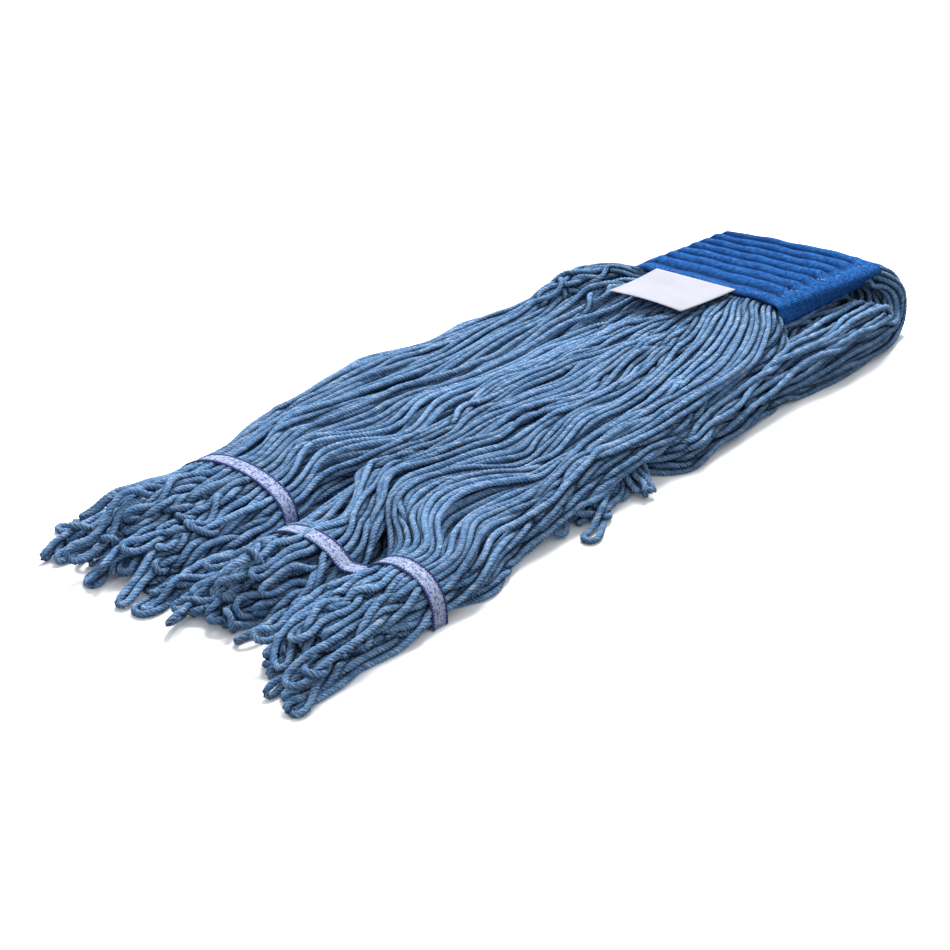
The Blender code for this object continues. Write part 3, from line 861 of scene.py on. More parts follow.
def back_loops():
    """Every loop of the back half, as (side, row, polyline in millimetres)."""
    left, right = edge_line(BACK_LEFT), edge_line(BACK_RIGHT)
    rows = len(BACK_ROWS)
    band_y = BACK_TAPE_Y / MM
    tied_from, tied_span = BACK_TIED[0], BACK_TIED[1] - BACK_TIED[0]
    strands = []
    for row, (first, last, count) in enumerate(BACK_ROWS):
        line_of_row = []
        for i in range(count):
            place = first + (last - first) * (i + 0.25 + 0.5 * (row % 2)) / count
            line = back_strand(place, row, rows, left, right)
            slot = (tied_from + tied_span * place, 3.5 + 17.0 * row / (rows - 1))
            line_of_row.append((row, *tie(line, slot, band_y, 36)))
        strands += line_of_row if row % 2 == 0 else line_of_row[::-1]
    loops = []
    for first, second in zip(strands[0::2], strands[1::2]):
        start, end = loop_ends(first, second)
        middle = ((start[0] + end[0]) / 2 - tied_from) / tied_span
        share = np.clip(middle + rng.normal(0, 0.08), 0, 1) ** 0.7
        x = BACK_TIPS[0] + (BACK_TIPS[1] - BACK_TIPS[0]) * share
        # Towards the right the loops end sooner, and show beside the front half.
        y = rng.uniform(*BACK_TIP_Y) + rng.uniform(0, 105) * smoothstep(share, 0.72, 0.95)
        tip = np.array([x, y, rng.uniform(3.5, 14)])
        loops.append(("back", first[0], whole_loop(first, second, loop_line(start, end, tip))))
    return loops


# ---------------------------------------------------------------- settling the yarn

BEAD = 4.4 * MM
SETTLE_ROUNDS = 150
# Rounds between two searches for neighbours, and how far the search looks, in strand radii.
SEARCH_EVERY = 8
SEARCH_REACH = 2.5
# Beads of one strand this close in its order don't push each other.
OWN_BEADS = 4
# How close two strands come, as a share of their radii together.
CONTACT = 0.95
# Share of each correction that a round makes: of a bead's pushes together, of a bend and of a stretch.
TOUCH_SHARE = 0.45
BEND_SHARE = 0.14
STRETCH_SHARE = 0.6
# How steeply the top of the curl falls behind the headband.
CURL_FALL = 0.40


def grid_keys(cell, size):
    return (cell[:, 0] * size[1] + cell[:, 1]) * size[2] + cell[:, 2]


def neighbours(points, reach, strand):
    """Pairs of beads closer than reach, found on a grid, without near ones of the same strand."""
    cell = np.floor(points / reach).astype(np.int64)
    cell -= cell.min(axis=0) - 1
    size = cell.max(axis=0) + 2
    key = grid_keys(cell, size)
    order = np.argsort(key, kind="stable")
    ranked = key[order]
    index = np.arange(len(points))
    steps = (-1, 0, 1)
    offsets = [(dx * size[1] + dy) * size[2] + dz for dx in steps for dy in steps for dz in steps]
    ones, others = [], []
    # Half of the cells around a bead are enough, as each pair is met from both of its beads.
    for offset in sorted(offsets)[13:]:
        start = np.searchsorted(ranked, key + offset, side="left")
        count = np.searchsorted(ranked, key + offset, side="right") - start
        one = np.repeat(index, count)
        step = np.arange(count.sum()) - np.repeat(np.cumsum(count) - count, count)
        other = order[np.repeat(start, count) + step]
        if offset == 0:
            one, other = one[one < other], other[one < other]
        ones.append(one)
        others.append(other)
    one, other = np.concatenate(ones), np.concatenate(others)
    apart = (strand[one] != strand[other]) | (np.abs(one - other) > OWN_BEADS)
    one, other = one[apart], other[apart]
    near = ((points[one] - points[other]) ** 2).sum(axis=1) < reach * reach
    return one[near], other[near]


def pushed_apart(one, other, push, count):
    """Sum of the pushes on each bead: each pair's goes to its second bead, and its reverse to the first."""
    total = np.zeros((count, 3))
    for index, values in ((other, push), (one, -push)):
        for axis in range(3):
            total[:, axis] += np.bincount(index, values[:, axis], minlength=count)
    return total


def gaps(points, one, other):
    gap = points[other] - points[one]
    return gap, np.linalg.norm(gap, axis=1) + 1e-9


def keep_clear(points, loose, radius):
    """Keeps the loose yarn on the floor, below the headband and the label, and low behind the curl."""
    points[:, 2] = np.maximum(points[:, 2], radius)
    x, y = points[:, 0], points[:, 1]
    below = loose & (y > BAND_NEAR + 4 * MM) & (y < BAND_FAR)
    below &= (x > BAND_LOW[0] - 2 * MM) & (x < BAND_HIGH[0] + 6 * MM)
    points[below, 2] = np.minimum(points[below, 2], BAND_BOTTOM - radius[below] * 0.9)
    below = loose & (x > LABEL_LEFT) & (x < LABEL_RIGHT) & (y > LABEL_END)
    roof = label_height(points[below]) - radius[below] - LABEL_GAP
    points[below, 2] = np.minimum(points[below, 2], roof)
    beyond = loose & (y > BAND_FAR)
    drop = BAND_TOP - 3.5 * MM - CURL_FALL * (y[beyond] - BAND_FAR) - FAR_LEFT_DROOP * (x[beyond] < 0)
    points[beyond, 2] = np.minimum(points[beyond, 2], drop)


def settle(points, strand, pinned, home_pull, gravity, radius):
    """Pushes the beads of all strands apart, down and together along each strand; pinned ones stay."""
    home = points.copy()
    free = (~pinned).astype(float)[:, None]
    link = np.flatnonzero(strand[:-1] == strand[1:])
    rest = np.linalg.norm(points[link + 1] - points[link], axis=1)
    inner = link[np.isin(link + 1, link)] + 1
    count = len(points)
    for turn in range(SETTLE_ROUNDS):
        if turn % SEARCH_EVERY == 0:
            one, other = neighbours(points, SEARCH_REACH * STRAND_RADIUS, strand)
            wanted = (radius[one] + radius[other]) * CONTACT
        points[:, 2] -= gravity * free[:, 0]
        points += (home - points) * home_pull[:, None] * free
        gap, distance = gaps(points, one, other)
        hit = distance < wanted
        push = gap[hit] * ((wanted[hit] - distance[hit]) / distance[hit] * 0.5)[:, None]
        total = pushed_apart(one[hit], other[hit], push, count)
        touches = np.bincount(one[hit], minlength=count) + np.bincount(other[hit], minlength=count)
        points += total * free / np.maximum(touches * TOUCH_SHARE, 1.0)[:, None]
        bend = (points[inner - 1] + points[inner + 1]) / 2 - points[inner]
        points[inner] += bend * BEND_SHARE * free[inner]
        for _ in range(2):
            gap, distance = gaps(points, link, link + 1)
            move = gap * ((distance - rest) / distance * 0.5)[:, None]
            points += pushed_apart(link + 1, link, move, count) * STRETCH_SHARE * free
        keep_clear(points, ~pinned, radius)
    return points


def lay_yarn():
    """All the loops, settled, as (side, row, number, centreline, radius along it)."""
    loops = front_loops() + back_loops()
    lines, strand, pinned, pull, gravity, radius = [], [], [], [], [], []
    for number, (side, row, line) in enumerate(loops):
        line = even_points(line * MM, step=BEAD)
        count = len(line)
        back = side == "back"
        tape_y = BACK_TAPE_Y if back else tail_y(side) * MM
        loose = smoothstep(line[:, 1], tape_y, tape_y - 12 * MM)
        if back:
            inside = (line[:, 1] < BAND_FAR + 1 * MM) & (line[:, 2] > BAND_BOTTOM)
            squeezed = smoothstep(line[:, 1], BAND_FAR + 20 * MM, BAND_FAR) * inside
            strength = 0.008 + 0.01 * (1 - loose)
        else:
            inside = line[:, 1] > BAND_NEAR - 0.5 * MM
            squeezed = smoothstep(line[:, 1], BAND_NEAR - 28 * MM, BAND_NEAR)
            strength = (0.045 if row == 0 else 0.015) * (1 - loose) + 0.008 * loose
        tied = np.abs(line[:, 1] - tape_y) < 6.5 * MM
        held = np.maximum(inside, tied).astype(float)
        # The drift fades out within a few beads of where the strand is held.
        ease = 1 - np.convolve(np.pad(held, 4, mode="edge"), np.full(9, 1 / 9), mode="valid")
        drift = wander(count, BEAD, 70 * MM, 1.2 * MM) + wander(count, BEAD, 28 * MM, 0.8 * MM)
        if back:
            low = smoothstep(line[:, 1], 300 * MM, 240 * MM) * (line[:, 2] < BAND_BOTTOM)
            drift += wander(count, BEAD, 60 * MM, 4.5 * MM) * ((1 - loose) * low)[:, None]
        lines.append(line + drift * np.clip(ease * 1.2 - 0.2, 0, 1)[:, None])
        strand.append(np.full(count, number))
        pinned.append(inside | tied)
        pull.append(strength)
        gravity.append((0.02 if row == 0 else 0.05) * MM * (1 - loose) + 0.05 * MM * loose)
        girth = 1.0 - 0.14 * squeezed - 0.07 * tied + 0.06 * loose
        radius.append(STRAND_RADIUS * girth * rng.uniform(0.96, 1.04))
    strand, pinned, pull, gravity, radius = map(np.concatenate, (strand, pinned, pull, gravity, radius))
    points = settle(np.vstack(lines), strand, pinned, pull, gravity, radius)
    laid = []
    for number, (side, row, _) in enumerate(loops):
        mine = strand == number
        laid.append((side, row, number, soften(points[mine], 2, 0.35), radius[mine]))
    return laid


def soften(line, rounds, share):
    """Takes small kinks out of a line."""
    for _ in range(rounds):
        line[1:-1] += ((line[:-2] + line[2:]) / 2 - line[1:-1]) * share
    return line


def bead_grid(beads, reach):
    """Beads sorted by the cell of a grid that each lies in."""
    low = beads.min(axis=0) - 4 * reach
    cell = np.floor((beads - low) / reach).astype(np.int64)
    size = cell.max(axis=0) + 5
    key = grid_keys(cell, size)
    order = np.argsort(key, kind="stable")
    return low, reach, size, order, key[order]


def gap_to_others(places, own, grid, beads, strand):
    """Distance from each place to the nearest bead of another strand, up to the grid's reach."""
    low, reach, size, order, ranked = grid
    key = grid_keys(np.floor((places - low) / reach).astype(np.int64), size)
    best = np.full(len(places), reach)
    for offset in [(dx * size[1] + dy) * size[2] for dx in (-1, 0, 1) for dy in (-1, 0, 1)]:
        start = np.searchsorted(ranked, key + offset - 1, side="left")
        count = np.searchsorted(ranked, key + offset + 1, side="right") - start
        for step in range(count.max(initial=0)):
            some = np.flatnonzero(count > step)
            bead = order[start[some] + step]
            apart = np.linalg.norm(places[some] - beads[bead], axis=1)
            apart[strand[bead] == own] = reach
            best[some] = np.minimum(best[some], apart)
    return best


# ---------------------------------------------------------------- yarn meshes

YARN_NAMES = {side: "front_yarn_" + side + "_" for side in SIDES}
YARN_NAMES["back"] = "back_yarn_"
# Loops that are pieces of their own, and the most loops in one bundle.
SINGLES = {"left": 12, "middle": 7, "right": 8, "back": 11}
BUNDLE = 10
# Painted crevice shade: distances to the nearest bead of another strand, in strand radii: how far it is
# looked for, and the span from deep in the crevice between two strands to the open.
CREVICE_SHADE_REACH = 1.8
CREVICE_SHADE_GAP = (1.15, 1.75)


def make_object(name, vertices, faces, material):
    """A smooth mesh from vertices and a list of faces, added to the scene."""
    data = bpy.data.meshes.new(name)
    data.vertices.add(len(vertices))
    data.vertices.foreach_set("co", np.ascontiguousarray(vertices, np.float32).ravel())
    sizes = np.array([len(face) for face in faces])
    corners = np.concatenate(faces)
    data.loops.add(len(corners))
    data.loops.foreach_set("vertex_index", corners.astype(np.int32))
    data.polygons.add(len(sizes))
    data.polygons.foreach_set("loop_start", (np.cumsum(sizes) - sizes).astype(np.int32))
    data.polygons.foreach_set("loop_total", sizes.astype(np.int32))
    data.update(calc_edges=True)
    data.validate()
    data.polygons.foreach_set("use_smooth", np.full(len(data.polygons), True))
    data.materials.append(material)
    obj = bpy.data.objects.new(name, data)
    bpy.context.scene.collection.objects.link(obj)
    return obj


def tube_faces(count, around, wrap=False):
    """Quads that join rings of points, with the number of the ring and of the point that each starts at."""
    spans = count if wrap else count - 1
    k, i = np.meshgrid(np.arange(spans), np.arange(around), indexing="ij")
    j, m = (i + 1) % around, (k + 1) % count
    quads = np.stack([k * around + i, k * around + j, m * around + j, m * around + i], axis=-1)
    return k, i, quads.reshape(-1, 4)


def end_faces(count, around):
    return [np.arange(around)[::-1], np.arange(around) + (count - 1) * around]


def corner_uv(left, right, low, high):
    """The corners' places in a flat layout, from the sides of each quad."""
    return np.stack([left, low, right, low, right, high, left, high], axis=-1).reshape(-1, 2)


def store_uv(obj, caps, **layers):
    """Flat layouts of the quads, with the end faces gathered in a corner."""
    cap_uv = np.full((sum(len(cap) for cap in caps), 2), 0.001)
    for name, values in layers.items():
        uv = np.vstack([*values, cap_uv])
        obj.data.uv_layers.new(name=name).data.foreach_set("uv", uv.astype(np.float32).ravel())


def store_value(obj, name, values):
    """One value for each vertex, for the material to read."""
    obj.data.attributes.new(name, "FLOAT", "POINT").data.foreach_set("value", np.concatenate(values))


def carried_frames(line):
    """Unit vectors across a line that turn with it and don't spin about it."""
    ahead = np.gradient(line, axis=0)
    ahead /= np.linalg.norm(ahead, axis=1)[:, None]
    side = np.cross(ahead[0], (0.0, 0.0, 1.0))
    if np.linalg.norm(side) < 1e-3:
        side = np.array([1.0, 0.0, 0.0])
    sides = np.empty_like(line)
    for k, direction in enumerate(ahead):
        side = side - direction * side.dot(direction)
        side /= math.sqrt(side.dot(side))
        sides[k] = side
    return sides, np.cross(ahead, sides)


def strand_shape(line, radius, ring_step):
    """A twisted four-ply strand: its rings, the length along it at each of them, and its centreline."""
    at = length_at(line)
    curve = even_points(smooth_curve(line, ring_step / 2), step=ring_step)
    along = np.linspace(0.0, at[-1], len(curve))
    girth = np.interp(along, at, radius)
    sides, ups = carried_frames(curve)
    angles = np.arange(RING_POINTS) * math.tau / RING_POINTS
    profile = np.tile(LOBE, PLIES)
    turn = along * (math.tau / TWIST_PITCH) + rng.uniform(0, math.tau)
    spin = angles[None, :] + turn[:, None]
    reach = girth[:, None] * profile[None, :]
    rings = (curve[:, None, :] + sides[:, None, :] * (np.cos(spin) * reach)[:, :, None]
             + ups[:, None, :] * (np.sin(spin) * reach)[:, :, None])
    return rings, along, curve


def yarn_object(name, strands, material, ring_step, crevice_shade_at):
    """One mesh of several strands, with a flat layout for baking and a second one that follows the yarn."""
    shapes = [strand_shape(line, radius, ring_step) for _, line, radius in strands]
    total = sum(len(along) - 1 for _, along, _ in shapes)
    columns = max(1, round(math.sqrt(total * ring_step / (math.tau * STRAND_RADIUS))))
    rows = math.ceil(total / columns)
    vertices, faces, caps, tints, crevice_shades, bake_uv, yarn_uv = [], [], [], [], [], [], []
    base, placed = 0, 0
    for (number, _, _), (rings, along, _) in zip(strands, shapes):
        count = len(along)
        vertices.append(rings.reshape(-1, 3))
        # Painted shade in the crevices beside other strands, one value for each vertex.
        crevice_shades.append(crevice_shade_at(vertices[-1], number))
        tints.append(np.full(count * RING_POINTS, rng.uniform(0.0, 1.0)))
        k, i, quads = tube_faces(count, RING_POINTS)
        faces += list(quads + base)
        caps += [cap + base for cap in end_faces(count, RING_POINTS)]
        # The flat layout stacks the spans between two rings in columns.
        column, row = np.divmod(placed + k, rows)
        left, right = (column + 0.04 + 0.92 * np.array([i, i + 1]) / RING_POINTS) / columns
        bake_uv.append(corner_uv(left, right, row / rows, (row + 1) / rows))
        yarn_uv.append(corner_uv(i / RING_POINTS, (i + 1) / RING_POINTS, along[k], along[k + 1]))
        base += count * RING_POINTS
        placed += count - 1
    obj = make_object(name, np.vstack(vertices), faces + caps, material)
    store_uv(obj, caps, OFBake=bake_uv, Yarn=yarn_uv)
    store_value(obj, "Tint", tints)
    store_value(obj, "CreviceShade", crevice_shades)
    return obj, [curve for _, _, curve in shapes]


def place_yarn(material):
    """Skins the strands: the outer loops as pieces of their own, the rest in bundles."""
    laid = lay_yarn()
    halves = {}
    for back in (False, True):
        mine = [(number, even_points(line, step=BEAD / 2))
                for side, _, number, line, _ in laid if (side == "back") == back]
        beads = np.vstack([line for _, line in mine])
        owner = np.concatenate([np.full(len(line), number) for number, line in mine])
        half = bead_grid(beads, CREVICE_SHADE_REACH * STRAND_RADIUS), beads, owner
        halves.update({number: half for number, _ in mine})

    def crevice_shade_at(places, own):
        """Painted shade for the yarn's colour: from 0, in the open, to 1, in the crevice beside another
        strand of the same half.
        """
        gap = gap_to_others(places, own, *halves[own]) / STRAND_RADIUS
        return 1 - smoothstep(gap, *CREVICE_SHADE_GAP)

    counts = {side: 0 for side in (*SIDES, "back")}
    bundles = {}
    for side, row, number, line, radius in laid:
        if row > 0 or counts[side] >= SINGLES[side]:
            bundles.setdefault((side, row), []).append((number, line, radius))
            continue
        counts[side] += 1
        name = YARN_NAMES[side] + "loop_%02d" % counts[side]
        obj, (curve,) = yarn_object(name, [(number, line, radius)], material, FINE_STEP, crevice_shade_at)
        length = float(lengths(curve).sum())
        route = even_points(curve, step=2 * FINE_STEP)
        hold_yarn(obj, side)
    for (side, row), strands in sorted(bundles.items()):
        fine = row < 2 or (side == "back" and row < 4)
        for part in range(0, len(strands), BUNDLE):
            name = YARN_NAMES[side] + "row_%d_%d" % (row + 1, part // BUNDLE + 1)
            step = FINE_STEP if fine else PLAIN_STEP
            obj, _ = yarn_object(name, strands[part:part + BUNDLE], material, step, crevice_shade_at)
            hold_yarn(obj, side)


def hold_yarn(obj, side):
    """Bakes the yarn's placement into its mesh, the same way for either half."""
    if side == "back":
        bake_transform(obj)
    else:
        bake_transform(obj)


# ---------------------------------------------------------------- cloth and thread meshes


def loft_object(name, lofts, material, wrap=False):
    """One mesh of rings joined into tubes or thin sheets, closed by end faces or, with wrap, end to end."""
    vertices, faces, caps, bake_uv, cloth_uv, tints = [], [], [], [], [], []
    base = 0
    for number, rings in enumerate(lofts):
        count, around = rings.shape[:2]
        k, i, quads = tube_faces(count, around, wrap)
        faces += list(quads + base)
        left, right = (number + 0.02 + 0.96 * np.array([i, i + 1]) / around) / len(lofts)
        low, high = 0.02 + 0.96 * np.array([k, k + 1]) / len(k)
        bake_uv.append(corner_uv(left, right, low, high))
        across = np.linalg.norm(np.diff(rings, axis=1, append=rings[:, :1]), axis=2).mean(axis=0)
        along = np.linalg.norm(np.diff(rings, axis=0, append=rings[:1]), axis=2).mean(axis=1)
        u = np.concatenate([[0.0], np.cumsum(across)])
        v = np.concatenate([[0.0], np.cumsum(along)])
        cloth_uv.append(corner_uv(u[i], u[i + 1], v[k], v[k + 1]))
        if not wrap:
            caps += [cap + base for cap in end_faces(count, around)]
        vertices.append(rings.reshape(-1, 3))
        tints.append(np.full(count * around, rng.uniform(0.0, 1.0)))
        base += count * around
    obj = make_object(name, np.vstack(vertices), faces + caps, material)
    store_uv(obj, caps, OFBake=bake_uv, Cloth=cloth_uv)
    store_value(obj, "Tint", tints)
    return obj


def sheet_rings(grid, thickness):
    """A thin sheet on both sides of a grid of points, as one flattened ring for each of the grid's rows."""
    normal = np.cross(np.gradient(grid, axis=0), np.gradient(grid, axis=1))
    normal /= np.linalg.norm(normal, axis=2)[:, :, None]
    under, over = grid - normal * thickness / 2, grid + normal * thickness / 2
    return np.concatenate([under, over[:, ::-1]], axis=1), normal


def tube_rings(line, radius, sides=6):
    """A round thread along a line."""
    side, up = carried_frames(line)
    angles = np.arange(sides) * math.tau / sides
    girth = np.broadcast_to(radius, len(line))[:, None, None]
    return line[:, None, :] + girth * (side[:, None, :] * np.cos(angles)[None, :, None]
                                       - up[:, None, :] * np.sin(angles)[None, :, None])


# ---------------------------------------------------------------- headband


def corner_arc(x, z, radius, start, end, count):
    angles = np.radians(np.linspace(start, end, count))
    return np.column_stack([x + radius * np.cos(angles), z + radius * np.sin(angles)])


def cover_ring(along, y, inset):
    """The headband's section: across the top, down the right side, back along the bottom and up the left."""
    left, right = cover_edges(along)
    left, right = left + inset, right - inset
    foot = BAND_HIGH[0] + FOOT_SHIFT - inset
    top_round, foot_round = TOP_ROUND - inset, FOOT_ROUND - inset
    share = np.linspace(0.0, 1.0, 100)
    rib = np.abs(math.sin(math.pi * along * RIBS)) ** 0.55 * RIB_HEIGHT * (inset == 0)
    # The first rib is lower, clear of the label.
    rib *= 0.42 + 0.58 * smoothstep(along, 0.08, 0.20)
    fade = smoothstep(share, 0.0, 0.05) * (1 - 0.75 * smoothstep(share, 0.90, 0.97))
    top_z = cover_top(share, along) - inset
    bottom = BAND_BOTTOM + 1.2 * MM + inset
    under_x = left + foot_round + (foot - left - 2 * foot_round) * np.linspace(1.0, 0.0, 30)
    parts = [
        np.column_stack([left + top_round + (right - left - 2 * top_round) * share, top_z + rib * fade]),
        corner_arc(right - top_round, top_z[-1] - top_round, top_round, 80, 0, 6),
        corner_arc(foot - foot_round, bottom + foot_round, foot_round, 0, -80, 6),
        np.column_stack([under_x, np.full(len(under_x), bottom - 0.5 * rib)]),
        corner_arc(left + foot_round, bottom + foot_round, foot_round, -100, -180, 6),
        corner_arc(left + top_round, top_z[0] - top_round, top_round, 180, 100, 6)]
    section = np.vstack(parts)
    pull = FAR_LEFT_PULL * along**2 * np.clip((right - section[:, 0]) / (right - left), 0, 1)
    return np.column_stack([section[:, 0], y - pull, section[:, 1]])


def cover_y(along):
    return COVER_NEAR + (BAND_FAR - COVER_NEAR) * along


def add_headband(mesh, thread, pale_thread):
    """The mesh cover with its ribs, the stitch rows in its channels and the loose thread ends beside them."""
    outer = [cover_ring(t, cover_y(t), 0) for t in np.linspace(0.0, 1.0, RIBS * RIB_RINGS + 1)]
    lip = COVER_THICKNESS / 2
    far = [cover_ring(1.0, cover_y(1.0) + lip * 0.7, lip), cover_ring(1.0, cover_y(1.0), COVER_THICKNESS)]
    inner = [cover_ring(t, cover_y(t), COVER_THICKNESS) for t in (0.85, 0.5, 0.15)]
    near = [cover_ring(0.0, cover_y(0.0), COVER_THICKNESS), cover_ring(0.0, cover_y(0.0) - lip * 0.7, lip)]
    rings = np.array(outer + far + inner + near)[:, ::-1]
    cover = loft_object("headband_cover", [rings], mesh, wrap=True)
    # Shade is painted into the cover's colour: darker in the channels between its ribs and down its sides.
    x, y, z = np.moveaxis(rings, 2, 0)
    groove = 1 - np.abs(np.sin(np.pi * RIBS * (y - COVER_NEAR) / (BAND_FAR - COVER_NEAR)))
    share = (x - BAND_LOW[0]) / (BAND_HIGH[0] - BAND_LOW[0])
    groove *= (z > BAND_TOP - 12 * MM) * (1 - smoothstep(share, 0.88, 0.97))
    groove = np.maximum(groove, 0.45 * smoothstep(z, BAND_TOP - 5 * MM, BAND_TOP - 8 * MM))
    store_value(cover, "PaintedShade", groove)
    around = lengths(rings[0]).sum()
    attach(cover, "headband")
    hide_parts("headband_top_panel", "headband_bottom_panel",
                "headband_hem_left", "headband_hem_right")
    for row in range(1, RIBS):
        piece = loft_object("headband_stitches_%d" % row, stitch_row(row / RIBS), thread)
        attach(piece, "headband")
        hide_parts("headband_stitch_row_%d" % row)
    ends = [thread_end(along, place) for along, count in THREAD_ENDS for place in range(count)]
    piece = loft_object("headband_thread_ends", ends, pale_thread)
    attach(piece, "headband")


def stitch_row(along):
    """One row of lockstitch, sunk into the channel between two ribs."""
    left, right = cover_edges(along)
    first, last = left + TOP_ROUND, right - TOP_ROUND
    stitches = []
    for number in range(int((last - first - 6 * MM) / STITCH_PITCH)):
        start = first + 2 * MM + number * STITCH_PITCH
        x = start + np.linspace(0.0, STITCH_LENGTH, 6)
        share = (x - first) / (last - first)
        z = cover_top(share, along) + 0.45 * MM * np.sin(np.linspace(0.1, math.pi - 0.1, 6)) + 0.05 * MM
        y = np.full(len(x), cover_y(along) + rng.normal(0.0, 0.08 * MM))
        girth = THREAD_RADIUS * 1.15 * np.array([0.55, 0.95, 1.0, 1.0, 0.95, 0.55])
        stitches.append(tube_rings(np.column_stack([x, y, z]), girth))
    return stitches


def thread_end(along, place):
    """A short pale end of thread that lies across the ribs near the right end of a stitch row."""
    left, right = cover_edges(along)
    x = right - (7.0 + 2.1 * place) * MM + rng.normal(0.0, 0.4 * MM)
    y = cover_y(along) + rng.normal(0.0, 0.9 * MM)
    heading = rng.uniform(0.0, math.tau)
    t = np.linspace(0.0, 1.0, 8)
    reach = rng.uniform(1.2, 2.8) * MM
    bend = rng.normal(0.0, 0.7) * MM
    line_x = x + reach * t * math.cos(heading) - bend * t * t * math.sin(heading)
    line_y = y + reach * t * math.sin(heading) + bend * t * t * math.cos(heading)
    share = np.clip((line_x - left - TOP_ROUND) / (right - left - 2 * TOP_ROUND), 0, 1)
    line_z = cover_top(share, along) + 0.5 * MM + 0.9 * MM * np.sin(t * 2.4)
    return tube_rings(np.column_stack([line_x, line_y, line_z]), 0.21 * MM, 5)


# ---------------------------------------------------------------- label


def add_label(material):
    """A blank label of stiff cloth, a little curled."""
    u = np.linspace(0.0, 1.0, 26)[None, :, None]
    v = np.linspace(0.0, 1.0, 18)[:, None, None]
    sewn = np.array(LABEL_SEWN[0]) * (1 - u) + np.array(LABEL_SEWN[1]) * u
    free = np.array(LABEL_FREE[0]) * (1 - u) + np.array(LABEL_FREE[1]) * u
    grid = sewn * (1 - v) + free * v
    grid[:, :, 2] += (1.6 * np.sin(np.pi * u) * v - 1.2 * np.sin(np.pi * v) * (1 - 0.5 * u))[:, :, 0]
    rings, _ = sheet_rings(grid[::-1] * MM, LABEL_THICKNESS)
    label = loft_object("label_cloth_tab", [rings], material)
    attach(label, "label_tab")
    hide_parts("label")


# ---------------------------------------------------------------- tail bands

# Points across a tape.
TAPE_POINTS = 9


def tape_grid(path, across):
    """A grid of points for a tape along a path, with a slight sag of its edges."""
    share = np.linspace(-0.5, 0.5, TAPE_POINTS)
    grid = path[:, None, :] + across[:, None, :] * (share * TAPE_WIDTH)[None, :, None]
    grid[:, :, 2] -= (share**2 * 1.6 * MM)[None, :] * (path[:, 2] > 3 * MM)[:, None]
    return grid


def front_tape_path():
    """The upper tape's centre line in metres, over the three clusters, with the direction of its width."""
    points, turns = [], []
    for side in SIDES:
        cluster = CLUSTERS[side]
        y = tail_y(side)
        hump = [(x, y, z) for x, z in (arch_point(cluster, 0.2, a) for a in np.linspace(0.0, math.pi, 40))]
        left, right = cluster["across"]
        hump = [(left + 0.2, y, 1.4), *hump, (right - 0.2, y, 1.4)]
        if side == "middle":
            hump = [p for p in hump if p[0] < right - 12 or p[2] > 19]
        if side == "right":
            hump = [p for p in hump if p[0] > left + 12 or p[2] > 19]
        points += hump
        turns += [0.0] * len(hump)
        if side == "left":
            # On the floor the tape runs across to the middle cluster, which lies further out.
            here = np.array(hump[-1])
            there = np.array((CLUSTERS["middle"]["across"][0] + 0.2, tail_y("middle"), 1.4))
            for t in np.linspace(0.1, 0.9, 7):
                points.append(tuple(here * (1 - t) + there * t))
                turns.append(-62.0 * math.sin(math.pi * t) ** 0.5)
    points = np.array(points) * MM
    at = length_at(points)
    path = even_points(points, step=2.0 * MM)
    turn = np.radians(np.interp(np.linspace(0.0, at[-1], len(path)), at, turns))
    return soften(path, 3, 0.5), np.column_stack([-np.sin(turn), np.cos(turn), np.zeros(len(turn))])


def back_tape_path():
    """The back half's upper tape: over the yarns in one low arch."""
    low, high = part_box("back_tail_band_upper")
    t = np.linspace(0.0, math.pi, 60)
    x = (low[0] + high[0]) / 2 - np.cos(t) * (high[0] - low[0] - 1 * MM) / 2
    z = 1.4 * MM + (high[2] - 2 * MM) * np.abs(np.sin(t)) ** 0.35
    path = even_points(np.column_stack([x, np.full(len(t), BACK_TAPE_Y), z]), step=2.0 * MM)
    return path, np.tile((0.0, 1.0, 0.0), (len(path), 1))


def edge_thread(path, across, normal, side):
    """Overlock along one edge of a tape: a zigzag over the edge and a chain beside it."""
    half = side * TAPE_WIDTH / 2
    count = len(path) * 2
    fine = even_points(path, count=count)
    at = np.linspace(0.0, len(path) - 1.0, count)
    index = np.arange(len(path))
    over, lift = resampled(at, index, across), resampled(at, index, normal)
    outward = np.arange(count) % 2 == 0
    step = np.where(outward, 0.3 * MM, -1.5 * MM) * side
    rise = np.where(outward, 0.25 * MM, 0.65 * MM)[:, None]
    zigzag = fine + over * (half + step)[:, None] + lift * rise
    chain = fine + over * (half - side * 0.1 * MM) + lift * 0.5 * MM
    zigzag[:, 2] -= 0.4 * MM
    chain[:, 2] -= 0.4 * MM
    return [tube_rings(zigzag, THREAD_RADIUS, 5), tube_rings(chain, THREAD_RADIUS * 1.2, 5)]


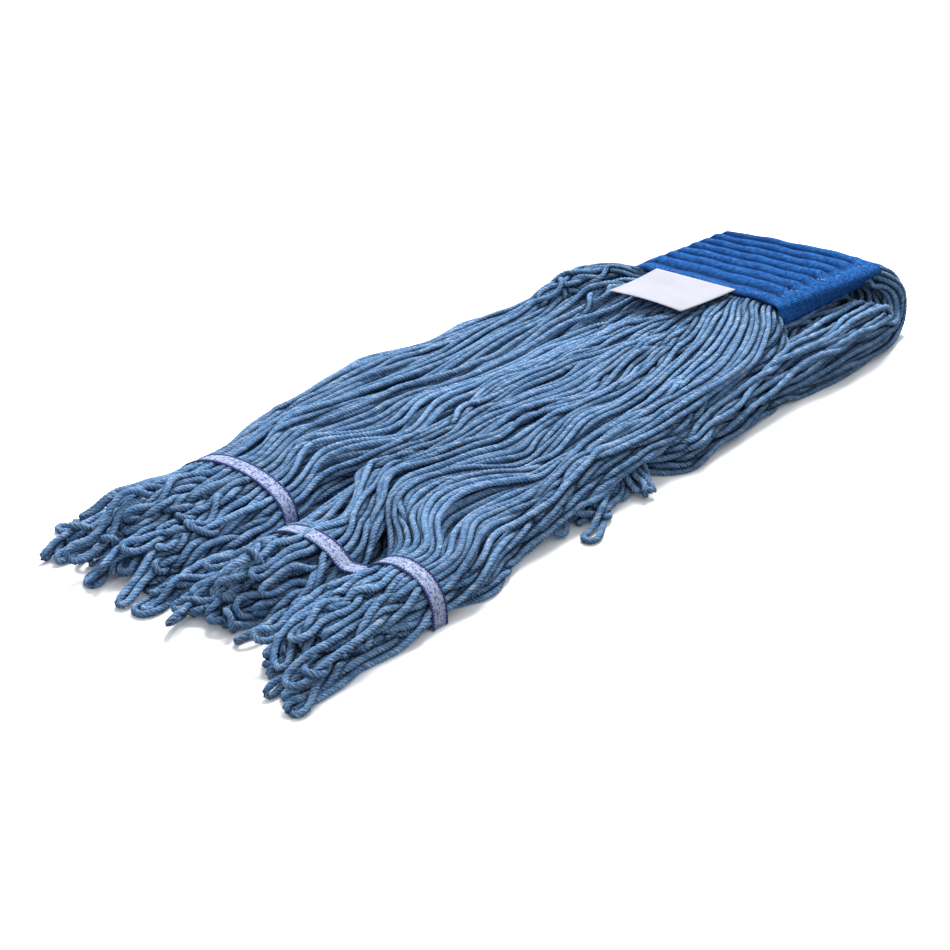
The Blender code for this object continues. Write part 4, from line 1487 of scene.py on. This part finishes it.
def add_tail_band(half, path, across, tape, thread):
    """The upper and the lower tape of a half, with the thread along both edges of the upper one."""
    body = half + "_half"
    rings, normal = sheet_rings(tape_grid(path, across), TAPE_THICKNESS)
    up = normal[:, normal.shape[1] // 2]
    # The lower tape lies on the floor below the upper one, without the points that fall together there.
    flat_path = path.copy()
    flat_path[:, 2] = TAPE_THICKNESS / 2 + 0.1 * MM
    keep = [0]
    for k in range(1, len(flat_path)):
        if np.linalg.norm(flat_path[k] - flat_path[keep[-1]]) > 1.2 * MM:
            keep.append(k)
    lower_rings, _ = sheet_rings(tape_grid(flat_path[keep], across[keep]), TAPE_THICKNESS)
    for name, shape in (("upper", rings), ("lower", lower_rings)):
        piece = loft_object(half + "_tail_tape_" + name, [shape], tape)
        length = float(lengths(shape[:, TAPE_POINTS // 2]).sum())
        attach(piece, body)
        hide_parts(half + "_tail_band_" + name)
    for name, side in (("inner", 1), ("outer", -1)):
        piece = loft_object(half + "_tail_thread_" + name, edge_thread(path, across, up, side), thread)
        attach(piece, body)
        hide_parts(half + "_tail_band_thread_" + name)


add_camera()
add_studio()
yarn = make_yarn_material()
mesh = make_knit_material(
    "headband_mesh", dark=(0.0004, 0.012, 0.066), mid=(0.003, 0.046, 0.205), light=(0.030, 0.160, 0.460),
    wale=1.7 * MM, course=1.5 * MM, depth=0.35 * MM, flecks=(0.034, 0.185, 0.470), fleck_share=0.36)
tape = make_knit_material(
    "tail_tape", dark=(0.070, 0.110, 0.270), mid=(0.280, 0.325, 0.480), light=(0.560, 0.590, 0.700),
    wale=1.3 * MM, course=1.2 * MM, depth=0.20 * MM, flecks=(0.040, 0.090, 0.280), fleck_share=0.85)
thread = make_thread_material("blue_thread", (0.002, 0.022, 0.160))
pale_thread = make_thread_material("pale_thread", (0.34, 0.38, 0.52))
place_yarn(yarn)
add_headband(mesh, thread, pale_thread)
add_label(make_label_material())
add_tail_band("front", *front_tape_path(), tape, thread)
add_tail_band("back", *back_tape_path(), tape, thread)

soft = [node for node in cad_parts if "yarn" in node or "loops" in node or "curl" in node]
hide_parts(*[node for node in soft if not node.startswith("back")])
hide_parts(*[node for node in soft if node.startswith("back")])
